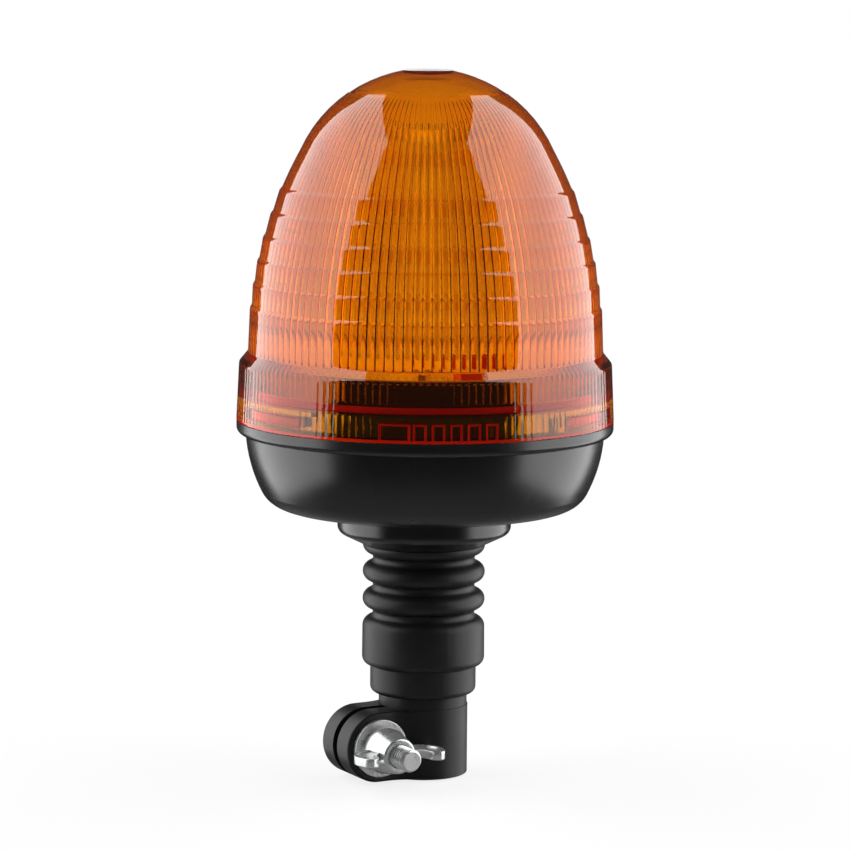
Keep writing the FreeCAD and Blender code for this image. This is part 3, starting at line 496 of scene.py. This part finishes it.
def half_ring(height, way):
    """Half of a bellows ring as a wave, from its widest line to the groove above it or below it."""
    ring_centre = Vector((RING - RING_ROUND, height))
    groove_centre = Vector((GROOVE + GROOVE_ROUND, height + GROOVE_OFF * way))
    meeting = ring_centre.lerp(groove_centre, RING_ROUND / (RING_ROUND + GROOVE_ROUND))
    crest = (RING, height)
    valley = (GROOVE, height + GROOVE_OFF * way)
    swell = arc(crest, meeting, RING_ROUND * way, RING_POINTS)
    return swell + arc(meeting, valley, -GROOVE_ROUND * way, GROOVE_POINTS) + [valley]


def bellows_ring(height):
    return half_ring(height, -1)[::-1] + half_ring(height, 1)[1:]


def down_bore(top, foot, parts):
    """Points down the wall of the bore, close enough for it to bend."""
    return [(BORE, foot + step * (top - foot) / parts) for step in range(parts, -1, -1)]


black_rubber = moulded("black_rubber", RUBBER, RUBBER_CLOUD, roughness=0.44, grain=1500.0, depth=0.00008,
                       gloss=0.27)
lower_shape = turned(
    [(SOCKET, SLEEVE_FOOT, SLEEVE_EDGE), (SLEEVE, SLEEVE_FOOT, SLEEVE_ROUND),
     (SLEEVE, STEM_COLLAR_FOOT, SLEEVE_EDGE), (STEM_COLLAR, STEM_COLLAR_FOOT, STEM_COLLAR_ROUND)]
    + half_ring(STEM_COLLAR_BULGE, 1) + bellows_ring(LOW_RING)[1:]
    + down_bore(SPLIT, SOCKET_TOP, LOWER_BORE_PARTS) + [(SOCKET, SOCKET_TOP)], STEM_STEPS)
parting_line(lower_shape)
stem_lower = finished("stem_lower", lower_shape, black_rubber, sharp=50.0)
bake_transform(stem_lower)
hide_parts("rubber_stem")

upper_shape = turned(
    [(BORE, SPLIT)] + bellows_ring(MIDDLE_RING) + half_ring(HIGH_RING, -1)[-2::-1]
    + [(RING, THROAT_FOOT), (THROAT, THROAT_FOOT), (THROAT, PLUG_FOOT), (PLUG, PLUG_FOOT), (PLUG, PLUG_TOP)]
    + down_bore(PLUG_TOP, SPLIT, UPPER_BORE_PARTS)[:-1], STEM_STEPS)
parting_line(upper_shape)
stem_upper = finished("stem_upper", upper_shape, black_rubber, sharp=50.0)
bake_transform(stem_upper)

# Leads: a red and a black insulated wire from the contacts up the stem's channel to the
# driver board, each shown as two lengths that meet where the stem's two lengths meet.
RED_SKIN = (0.42, 0.015, 0.01, 1.0)
RED_SKIN_CLOUD = (0.5, 0.025, 0.015, 1.0)
LEAD = 1.1
LEAD_EDGE = 0.15
LEAD_TOP = 111.9
LEAD_PARTS = 14
LEAD_STEPS = 20


def lead_length(across, foot, top):
    """A straight run of insulated wire, rounded at its ends and ringed so that it can bend."""
    levels = [foot + step * (top - foot) / LEAD_PARTS for step in range(1, LEAD_PARTS)]
    shape = turned([(0, foot), (LEAD, foot, LEAD_EDGE)] + [(LEAD, level) for level in levels]
                   + [(LEAD, top, LEAD_EDGE), (0, top)], LEAD_STEPS)
    bmesh.ops.translate(shape, verts=shape.verts[:], vec=(across * MM, 0, 0))
    return shape


red_insulation = moulded("red_insulation", RED_SKIN, RED_SKIN_CLOUD, roughness=0.4, grain=2400.0,
                         depth=0.00002)
black_insulation = moulded("black_insulation", BLACK, BLACK_CLOUD, roughness=0.4, grain=2400.0,
                           depth=0.00002)
for name, across, foot, insulation, slot in (
        ("lead_positive", 3.0, 53.5, red_insulation, "lead_red"),
        ("lead_earth", -8.6, 35.0, black_insulation, "lead_black")):
    lower = finished(name + "_lower", lead_length(across, foot, SPLIT), insulation)
    upper = finished(name + "_upper", lead_length(across, SPLIT, LEAD_TOP), insulation)
    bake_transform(lower)
    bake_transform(upper)
    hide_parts(name)

# Flange: a dished disc in the same satin black plastic as the base, screwed up under it with
# three pan-head screws so that it traps the stem's plug.
COLLAR_FOOT = 123.7
base_plastic = moulded("base_plastic", BLACK, BLACK_CLOUD, roughness=0.25, grain=2900.0, depth=0.00005,
                       polished_above=COLLAR_FOOT * MM)
coat(base_plastic, "stem_flange")
coat(zinc_plate, "flange_screws")

# Base: a deep bowl moulded in black, with a lip that the lens stands on and a collar that goes
# up inside it. The collar has the ledge, gaps and stops of the lens's twist lock, and it is
# polished, where the bowl is satin.
coat(base_plastic, "base_housing")

# Driver: a round green board on three posts in the bowl, with a control chip, a wound choke
# and a smoothing capacitor soldered to it.
BOARD_GREEN = (0.015, 0.11, 0.035, 1.0)
BOARD_GREEN_CLOUD = (0.02, 0.15, 0.05, 1.0)
CASE = (0.02, 0.02, 0.022, 1.0)
CASE_CLOUD = (0.03, 0.03, 0.032, 1.0)
green_board = moulded("green_board", BOARD_GREEN, BOARD_GREEN_CLOUD, roughness=0.3, grain=700.0,
                      depth=0.00003)
dark_case = moulded("dark_case", CASE, CASE_CLOUD, roughness=0.45, grain=1600.0, depth=0.00004)
coat(green_board, "driver_board")
coat(dark_case, "driver_chip", "choke", "smoothing_capacitor")
coat(zinc_plate, "driver_screws")

# Deck: a white moulded disc screwed over the bowl. It throws the light up, and carries the
# tower and the red plug that feeds it.
WHITE = (0.8, 0.8, 0.77, 1.0)
WHITE_CLOUD = (0.86, 0.86, 0.83, 1.0)
white_plastic = moulded("white_plastic", WHITE, WHITE_CLOUD, roughness=0.38, grain=2000.0, depth=0.00003)
red_plastic = moulded("red_plastic", RED_SKIN, RED_SKIN_CLOUD, roughness=0.35, grain=2000.0, depth=0.00003)
coat(white_plastic, "reflector_deck")
coat(red_plastic, "tower_plug")
coat(zinc_plate, "deck_screws", "tower_screws")

# Tower: a six-sided aluminium extrusion that draws the heat off six lamp boards, closed by a
# six-sided cap. Each board is white and carries a column of square lamps.
ALUMINIUM = (0.74, 0.75, 0.76, 1.0)
ALUMINIUM_DULL = (0.6, 0.61, 0.62, 1.0)
LAMP = (0.75, 0.5, 0.06, 1.0)
LAMP_CLOUD = (0.8, 0.58, 0.1, 1.0)
TOWER_SIDES = 6
aluminium = plated("aluminium", ALUMINIUM, ALUMINIUM_DULL, roughness=0.3, marks=900.0, bloom=0.2)
lamp_window = moulded("lamp_window", LAMP, LAMP_CLOUD, roughness=0.15, grain=1200.0, depth=0.00002)
coat(aluminium, "tower_core", "tower_cap")
coat(zinc_plate, "cap_screws")
for number in range(1, TOWER_SIDES + 1):
    coat(white_plastic, "led_board_%d" % number)
    coat(lamp_window, "leds_%d" % number)

# Seal: a moulded red rubber ring that sits in the collar's groove and keeps the wet out. It is
# seen as a red line through the lens.
SEAL_RED = (0.5, 0.02, 0.012, 1.0)
SEAL_RED_CLOUD = (0.58, 0.03, 0.018, 1.0)
seal_rubber = moulded("seal_rubber", SEAL_RED, SEAL_RED_CLOUD, roughness=0.4, grain=1500.0, depth=0.00004)
coat(seal_rubber, "lens_seal")

# Lens: one clear amber moulding. Outside it has a fine-ribbed band, six soft-edged steps, a smooth
# crown and a button with a pale painted reflection; inside it has flutes, three lock lugs and a row of
# ratchet teeth, whose edges carry a painted red glow.
LENS_STEPS = 960
WALL = 2.6
ON_WALL = 0.05
# The band at the foot, ribbed outside and fluted inside
BAND_FOOT = 123.75
BAND_TOP = 143.5
BAND_OUT = 64.92
BAND_LOW = (64.9, 124.65)
BAND_HIGH = (64.05, 142.5)
BAND_RIM = 64.0
BAND_EDGE = 0.25
RIM_EDGE = 0.5
BAND_WALL = 60.3
BAND_RIBS = 160
RIB_DEPTH = 0.1
RIB_FOOT = 124.25
RIB_TOP = 142.9
RIB_LEAST = 63.9
BAND_FLUTE_DEPTH = 0.2
BAND_FLUTE_FOOT = 136.0
BAND_FLUTE_RAMP = 0.1
SKIRT_BORE = 62.2
SKIRT_TOP = 132.0
FOOT_EDGE = 0.7
LENS_SHOULDER = 143.6
# The flank, with its inner flutes and its six steps
FLANK = 140.0
FLANK_FOOT = (60.95, 147.2)
FLANK_POINTS = 4
INNER_FLANK_POINTS = 8
FLUTES = 120
FLUTE_DEPTH = 0.75
FLUTE_FOOT = 146.0
FLUTE_TOP = 233.5
FLUTE_RAMP = 0.08
TIER_RADII = (60.3, 59.3, 57.75, 55.75, 53.1, 50.05)
TIER_FIRST = 163.0
TIER_PITCH = 8.06
TIER_LEDGE = 0.62
TIER_DROP = 1.2
TIER_BREAK = math.radians(15.0)
TIER_TURN = math.radians(15.0)
TIER_POINTS = 3
TIER_RING = 0.93
# The crown and its button
CROWN = 47.5
CROWN_CENTRE = 196.5
CROWN_POINTS = 6
INNER_CROWN = CROWN - WALL
INNER_CROWN_POINTS = 9
KNEE_RISE = 19.5
INNER_KNEE_RISE = 18.5
CROWN_RING = 27.0
RING_STEP = 0.3
CAP_POINTS = 5
BUTTON = 8.0
BUTTON_TOP = 243.5
BUTTON_EDGE = 0.1
# Where the button's painted reflection ends.
REFLECTION_PAINT_EDGE = 8.6
# The lock lugs and the ratchet teeth, with their angles in degrees
LUG_STARTS = (170.0, 290.0, 50.0)
LUG_SWEEP = 30.0
LUG_FOOT = 126.05
LUG_FACE = 59.8
TEETH = 5
TEETH_START = -122.5
TOOTH_PITCH = 5.5
TOOTH_SWEEP = 4.0
WIDE_TOOTH_START = -133.0
WIDE_TOOTH_SWEEP = 9.5
TOOTH_TOP = 129.9
TOOTH_FACE = 61.4
TOOTH_SLOPE = 0.8
TOOTH_MARGIN = 1.0
# The finishes: clear amber, a painted red glow on its edges and a painted reflection on the button
GLOW_PAINT_FINISH = 1
REFLECTION_PAINT_FINISH = 2
GLOW_PAINT_RED = (0.8, 0.04, 0.01, 1.0)
GLOW_PAINT_RED_CLOUD = (0.85, 0.07, 0.015, 1.0)
PAINTED_REFLECTION = (0.62, 0.63, 0.64, 1.0)
PAINTED_REFLECTION_CLOUD = (0.72, 0.73, 0.74, 1.0)
PURE_WHITE = (1.0, 1.0, 1.0, 1.0)
DYE = (0.93, 0.75, 0.0, 1.0)
DYE_DENSITY = 1200.0
ACRYLIC_IOR = 1.49
FLOW_SCALE = 35.0
FLOW_DETAIL = 2.0
FLOW_DULLNESS = 0.02
RIPPLE_STRENGTH = 0.08
RIPPLE_DEPTH = 0.0004


def on_ball(radius, across):
    """The point of a ball's section about the crown's centre at a distance from the axis."""
    return across, CROWN_CENTRE + math.sqrt(radius ** 2 - across ** 2)


def knee_point(radius, rise):
    """The point of a ball's section about the crown's centre at a height above that centre."""
    return math.sqrt(radius ** 2 - rise ** 2), CROWN_CENTRE + rise


def tier(flank_foot, radius, height):
    """One step of the lens, from above the foot of its flank to its ledge: a ring of points under the
    edge, and an edge that breaks inwards and then turns over."""
    flank_way = (Vector((radius, height)) - Vector(flank_foot)).normalized()
    edge_foot = Vector((radius, height)) - flank_way * TIER_DROP
    lean = math.atan2(-flank_way.x, flank_way.y)
    rise = height - edge_foot.y
    ledge = (edge_foot.x - rise * math.tan(lean + TIER_BREAK + TIER_TURN / 2), height)
    chord = (Vector(ledge) - edge_foot).length
    edge = arc(tuple(edge_foot), ledge, chord / 2 / math.sin(TIER_TURN / 2), TIER_POINTS)
    return [tuple(Vector(flank_foot).lerp(edge_foot, TIER_RING)), *edge, ledge]


def add_line(points, level):
    """Adds a point to a rising section at a height between two of its points."""
    before = max(index for index, point in enumerate(points) if point[1] < level)
    (low_radius, low_height), (high_radius, high_height) = points[before:before + 2]
    part = (level - low_height) / (high_height - low_height)
    points.insert(before + 1, (low_radius + (high_radius - low_radius) * part, level))


lens_section = [(SKIRT_BORE + FOOT_EDGE, BAND_FOOT), (BAND_OUT, BAND_FOOT, BAND_EDGE), BAND_LOW, BAND_HIGH,
                (BAND_RIM, BAND_TOP, RIM_EDGE), (*FLANK_FOOT, RIM_EDGE)]
flank_foot = FLANK_FOOT
for step, radius in enumerate(TIER_RADII):
    height = TIER_FIRST + TIER_PITCH * step
    lens_section += tier(flank_foot, radius, height)
    flank_foot = (radius - TIER_LEDGE, height)
    lens_section.append(flank_foot)
knee = knee_point(CROWN, KNEE_RISE)
ring_line = on_ball(CROWN, CROWN_RING)
reflection_paint_line = on_ball(CROWN, REFLECTION_PAINT_EDGE)
lens_section += arc(flank_foot, knee, FLANK, FLANK_POINTS)[1:]
lens_section += arc(knee, ring_line, CROWN, CROWN_POINTS)
lens_section += [ring_line]
lens_section += arc((CROWN_RING - RING_STEP, ring_line[1]), reflection_paint_line, CROWN, CAP_POINTS)
lens_section += [reflection_paint_line, on_ball(CROWN, BUTTON), (BUTTON, BUTTON_TOP, BUTTON_EDGE), (0, BUTTON_TOP)]

inner_foot = (FLANK_FOOT[0] - WALL, FLANK_FOOT[1])
inner_knee = knee_point(INNER_CROWN, INNER_KNEE_RISE)
inner_top = (0, CROWN_CENTRE + INNER_CROWN)
inner_points = [(inner_foot[0], LENS_SHOULDER + BAND_WALL - inner_foot[0])]
inner_points += arc(inner_foot, inner_knee, FLANK - WALL, INNER_FLANK_POINTS)
inner_points += arc(inner_knee, inner_top, INNER_CROWN, INNER_CROWN_POINTS)
for level in (FLUTE_FOOT, FLUTE_TOP):
    add_line(inner_points, level - FLUTE_RAMP)
    add_line(inner_points, level + FLUTE_RAMP)
lens_section += [inner_top] + inner_points[::-1]
lens_section += [(BAND_WALL, level) for level in (LENS_SHOULDER, BAND_FLUTE_FOOT + BAND_FLUTE_RAMP,
                                                  BAND_FLUTE_FOOT, SKIRT_TOP)]
lens_section += [(SKIRT_BORE, level) for level in (SKIRT_TOP, TOOTH_TOP, LUG_FOOT, BAND_FOOT + FOOT_EDGE)]
lens_shape = turned(lens_section, LENS_STEPS, segments=2)
lens_shape.normal_update()


def flute(turn, count, radius, depth):
    """The height of a row of round flutes: nothing at a cusp, their depth at a crest."""
    half = math.pi * radius / count
    curve = (half ** 2 + depth ** 2) / (2 * depth)
    off = (turn / ROUND * count % 1.0 * 2 - 1) * half
    return math.sqrt(curve ** 2 - off ** 2) - curve + depth


def sink_band_flute(vert, turn, radius):
    """Moves a point of the band's inner wall out into a flute."""
    sunk = BAND_FLUTE_DEPTH - flute(turn, BAND_RIBS, BAND_WALL, BAND_FLUTE_DEPTH)
    vert.co.xy *= 1 + sunk / radius


# Ribs outside the band, flutes inside the flank and finer flutes inside the band
wall_at = {round(height, 3): radius for radius, height in inner_points}
for vert in lens_shape.verts:
    radius = vert.co.xy.length / MM
    height = vert.co.z / MM
    turn = math.atan2(vert.co.y, vert.co.x)
    on_flank = abs(radius - wall_at.get(round(height, 3), 0)) < ON_WALL
    on_band_wall = abs(radius - BAND_WALL) < ON_WALL
    if radius > RIB_LEAST and RIB_FOOT < height < RIB_TOP:
        sag = RIB_DEPTH * (0.5 - 0.5 * math.cos(BAND_RIBS * turn))
        vert.co.xy *= 1 - sag / radius
    elif on_flank and FLUTE_FOOT < height < FLUTE_TOP:
        swell = flute(turn, FLUTES, inner_foot[0], FLUTE_DEPTH)
        vert.co += vert.normal * (swell * MM * (radius / inner_foot[0]) ** 2)
    elif on_band_wall and BAND_FLUTE_FOOT + BAND_FLUTE_RAMP / 2 < height < LENS_SHOULDER + ON_WALL:
        sink_band_flute(vert, turn, radius)

# The inner wall of the skirt, which lugs and teeth grow from, the foot's edge with its painted red glow,
# and the button with its painted reflection
skirt_wall = []
for face in lens_shape.faces:
    centre = face.calc_center_median() / MM
    across = centre.xy.length
    if abs(across - SKIRT_BORE) < ON_WALL and centre.z < TOOTH_TOP:
        skirt_wall.append((face, math.degrees(math.atan2(centre.y, centre.x)), centre.z))
    elif across < SKIRT_BORE + FOOT_EDGE and centre.z < BAND_FOOT + FOOT_EDGE:
        face.material_index = GLOW_PAINT_FINISH
    elif across < REFLECTION_PAINT_EDGE and centre.z > CROWN_CENTRE + INNER_CROWN + WALL / 2:
        face.material_index = REFLECTION_PAINT_FINISH


def inward(start, sweep, low, face_radius):
    """Grows part of the skirt's inner wall inwards between two angles, from a height up. Its edges
    slope, and take the painted red glow."""
    patch = [face for face, turn, height in skirt_wall if height > low and 0 < (turn - start) % 360 < sweep]
    grown = bmesh.ops.extrude_face_region(lens_shape, geom=patch)["geom"]
    bmesh.ops.delete(lens_shape, geom=patch, context="FACES")
    top_faces = {item for item in grown if isinstance(item, bmesh.types.BMFace)}
    middle = math.radians(start + sweep / 2)
    narrowing = 1 - TOOTH_SLOPE / (math.radians(sweep / 2) * face_radius)
    reach = face_radius * MM
    for vert in grown:
        if isinstance(vert, bmesh.types.BMVert):
            off = (math.atan2(vert.co.y, vert.co.x) - middle + math.pi) % ROUND - math.pi
            turn = middle + off * narrowing
            drop = TOOTH_SLOPE * MM if vert.co.z > (TOOTH_TOP - ON_WALL) * MM else 0
            vert.co = (reach * math.cos(turn), reach * math.sin(turn), vert.co.z - drop)
            for face in set(vert.link_faces) - top_faces:
                face.material_index = GLOW_PAINT_FINISH


for start in LUG_STARTS:
    inward(start, LUG_SWEEP, LUG_FOOT, LUG_FACE)
inward(WIDE_TOOTH_START, WIDE_TOOTH_SWEEP, BAND_FOOT, TOOTH_FACE)
for tooth in range(TEETH):
    inward(TEETH_START + TOOTH_PITCH * tooth, TOOTH_SWEEP, BAND_FOOT, TOOTH_FACE)

# The rest of the skirt's inner wall is fluted as the band is.
teeth_from = math.radians(WIDE_TOOTH_START - TOOTH_MARGIN)
teeth_to = math.radians(TEETH_START + TOOTH_PITCH * TEETH)
for vert in lens_shape.verts:
    radius = vert.co.xy.length / MM
    turn = math.atan2(vert.co.y, vert.co.x)
    beside_teeth = not teeth_from < turn < teeth_to
    plain_wall = not any(face.material_index == GLOW_PAINT_FINISH for face in vert.link_faces)
    if abs(radius - SKIRT_BORE) < ON_WALL and beside_teeth and plain_wall:
        sink_band_flute(vert, turn, radius)

amber, place = new_finish("amber_acrylic")
flow = place.noise(FLOW_SCALE, FLOW_DETAIL)
ripple = place.node("ShaderNodeBump", {}, {
    "Strength": RIPPLE_STRENGTH, "Distance": RIPPLE_DEPTH, "Height": flow})
clear = place.node("ShaderNodeBsdfPrincipled", {}, {
    "Base Color": PURE_WHITE,
    "Roughness": flow * FLOW_DULLNESS,
    "IOR": ACRYLIC_IOR,
    "Transmission Weight": 1.0,
    "Normal": ripple,
})
shadow_ray = place.node("ShaderNodeLightPath", {}, {}, "Is Shadow Ray")
see_through = place.node("ShaderNodeBsdfTransparent", {}, {"Color": PURE_WHITE})
walls = place.node("ShaderNodeMixShader", {}, {0: shadow_ray, 1: clear, 2: see_through})
dye = place.node("ShaderNodeVolumeAbsorption", {}, {"Color": DYE, "Density": DYE_DENSITY})
place.node("ShaderNodeOutputMaterial", {}, {"Surface": walls, "Volume": dye})
# Red paint on the edges of the lugs, the teeth and the foot: a painted glow of the light that the amber
# plastic carries inside it.
painted_edge_glow = moulded("painted_edge_glow", GLOW_PAINT_RED, GLOW_PAINT_RED_CLOUD, roughness=0.4, grain=1500.0, depth=0.00004)
# The button's pale grey is a painted reflection, on a rough skin with a fine grain.
reflection_paint = moulded("painted_reflection_spot", PAINTED_REFLECTION, PAINTED_REFLECTION_CLOUD, roughness=0.5, grain=1800.0, depth=0.00004)
amber_lens = finished("amber_lens", lens_shape, amber, sharp=26.0)
amber_lens.data.materials.append(painted_edge_glow)
amber_lens.data.materials.append(reflection_paint)
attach(amber_lens, "lens")
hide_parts("lens")

# Studio: a plain white floor and background, and two large soft boxes that lean over the beacon
# from its sides and reach below the floor, which is clear from underneath. The room is dark to a
# mirrored ray, so it finds little but the boxes.
scene = bpy.context.scene
CAMERA_AT = Vector((-0.5818, -1.0496, 0.2816))
LOOK_AT = Vector((0, 0, 0.1215))
FOCUS_PIXELS = 3514.4
IMAGE_PIXELS = 850.0
SENSOR = 36.0
NEAREST_SEEN = 0.05
ROLL = math.radians(0.49)
camera_data = bpy.data.cameras.new("photo_camera")
camera_data.sensor_width = SENSOR
camera_data.lens = FOCUS_PIXELS / IMAGE_PIXELS * SENSOR
camera_data.clip_start = NEAREST_SEEN
camera = bpy.data.objects.new("photo_camera", camera_data)
scene.collection.objects.link(camera)
camera.location = CAMERA_AT
view_turn = (LOOK_AT - CAMERA_AT).to_track_quat("-Z", "Y")
camera.rotation_mode = "QUATERNION"
camera.rotation_quaternion = view_turn @ Quaternion((0, 0, 1), ROLL)
scene.camera = camera

# Sizes and places in the studio are in metres.
AWAY = Vector((-CAMERA_AT.x, -CAMERA_AT.y, 0)).normalized()
BOUNCES = 20
MIRROR_BOUNCES = 8
FLOOR_LEVEL = -0.0006
FLOOR_HALF = 6.0
FLOOR_GREY = (0.8, 0.8, 0.8, 1.0)
DARK_ROOM = 0.04
FILL = 0.15
PIPED_FRONT = 0.04
PIPED_BACK = 0.9
PIPED_TILT = 0.8
BOX_WIDTH = 1.5
BOX_HEIGHT = 2.1
BOX_POWER = 30.4
BOX_OFF = 0.861
BOX_LEVEL = 0.412
BOX_AIM = Vector((0, 0, 0.208))
BOX_BEARING = 99.5


def light_path(tone, *names):
    """The named facts about the ray that meets a surface."""
    return [tone.node("ShaderNodeLightPath", {}, {}, name) for name in names]


# The floor seen straight on or through the lens is white, but for the beacon's shadow. A mirrored
# ray finds a little of it near the beacon and goes through it further off.
floor_shape = bmesh.new()
bmesh.ops.create_grid(floor_shape, x_segments=1, y_segments=1, size=FLOOR_HALF,
                      matrix=Matrix.Translation((0, 0, FLOOR_LEVEL)))
floor_paint, place = new_finish("floor_paint")
camera_ray, clear_ray, mirrors = light_path(place, "Is Camera Ray", "Is Transmission Ray", "Glossy Depth")
reach = place.node("ShaderNodeVectorMath", {"operation": "LENGTH"}, {0: place}, "Value")
matt = place.node("ShaderNodeBsdfDiffuse", {}, {"Color": FLOOR_GREY})
glow = place.node("ShaderNodeEmission", {}, {"Color": PURE_WHITE, "Strength": 1.0})
gone = place.node("ShaderNodeBsdfTransparent", {}, {"Color": PURE_WHITE})
whiteness = reach.eased(start=0.03, end=0.3, first=0.8, last=1.0)
bright = place.node("ShaderNodeMixShader", {}, {0: (camera_ray + clear_ray) * whiteness, 1: matt, 2: glow})
mirrored = place.sum("MINIMUM", mirrors, 1.0)
faded = reach.eased(start=0.05, end=0.3, first=0.66, last=1.0)
from_below = place.node("ShaderNodeNewGeometry", {}, {}, "Backfacing")
hidden = place.sum("MAXIMUM", mirrored * faded, from_below)
shown = place.node("ShaderNodeMixShader", {}, {0: hidden, 1: bright, 2: gone})
place.node("ShaderNodeOutputMaterial", {}, {"Surface": shown})
floor = as_object("floor", floor_shape, floor_paint)

# A ray that bounces inside the lens before it leaves finds the room dark in front of the beacon
# and bright behind it and above.
world = bpy.data.worlds.new("white_room")
scene.world = world
world.use_nodes = True
world.node_tree.nodes.clear()
air = Tone(world.node_tree, None)
camera_ray, clear_ray, mirror_ray, soft_ray, mirrors, softs = light_path(
    air, "Is Camera Ray", "Is Transmission Ray", "Is Glossy Ray", "Is Diffuse Ray", "Glossy Depth",
    "Diffuse Depth")
bounced = air.sum("MINIMUM", mirrors + softs, 1.0)
direction = air.node("ShaderNodeTexCoord", {}, {}, "Generated")
behind = air.node("ShaderNodeVectorMath", {"operation": "DOT_PRODUCT"},
                  {0: direction, 1: AWAY + Vector((0, 0, PIPED_TILT))}, "Value")
piped = behind.eased(start=-0.2, end=0.5, first=PIPED_FRONT, last=PIPED_BACK)
through = clear_ray * (1.0 - bounced + bounced * piped)
strength = camera_ray + through + mirror_ray * DARK_ROOM + soft_ray * FILL
backdrop = air.node("ShaderNodeBackground", {}, {"Color": PURE_WHITE, "Strength": strength})
air.node("ShaderNodeOutputWorld", {}, {"Surface": backdrop})
scene.cycles.max_bounces = BOUNCES
scene.cycles.glossy_bounces = MIRROR_BOUNCES
scene.cycles.transmission_bounces = BOUNCES


def soft_box(name, bearing):
    """A soft box at a bearing from the camera's side of the object. It leans over the lens."""
    light = bpy.data.lights.new(name, "AREA")
    light.shape = "RECTANGLE"
    light.size = BOX_WIDTH
    light.size_y = BOX_HEIGHT
    light.energy = BOX_POWER
    lamp = bpy.data.objects.new(name, light)
    scene.collection.objects.link(lamp)
    toward = -AWAY
    toward.rotate(Quaternion((0, 0, 1), math.radians(bearing)))
    lamp.location = toward * BOX_OFF + Vector((0, 0, BOX_LEVEL))
    lamp.rotation_mode = "QUATERNION"
    lamp.rotation_quaternion = (BOX_AIM - lamp.location).to_track_quat("-Z", "Y")
    lamp.visible_camera = False


soft_box("right_soft_box", BOX_BEARING)
soft_box("left_soft_box", -BOX_BEARING)

# White panel: a small square that stands behind the beacon and shows in its flat button. It is as
# white as the background, so it isn't seen itself.
PANEL_HALF = 0.15
PANEL_OFF = 1.6
PANEL_LEVEL = 0.3
panel_shape = bmesh.new()
bmesh.ops.create_grid(panel_shape, x_segments=1, y_segments=1, size=PANEL_HALF)
panel_turn = AWAY.to_track_quat("Z", "Y").to_matrix().to_4x4()
panel_place = Matrix.Translation(AWAY * PANEL_OFF + Vector((0, 0, PANEL_LEVEL))) @ panel_turn
bmesh.ops.transform(panel_shape, matrix=panel_place, verts=panel_shape.verts[:])
panel_paint, place = new_finish("panel_paint")
glow = place.node("ShaderNodeEmission", {}, {"Color": PURE_WHITE, "Strength": 1.0})
place.node("ShaderNodeOutputMaterial", {}, {"Surface": glow})
white_panel = as_object("white_panel", panel_shape, panel_paint)
white_panel.visible_diffuse = False
scene.view_settings.view_transform = "Standard"
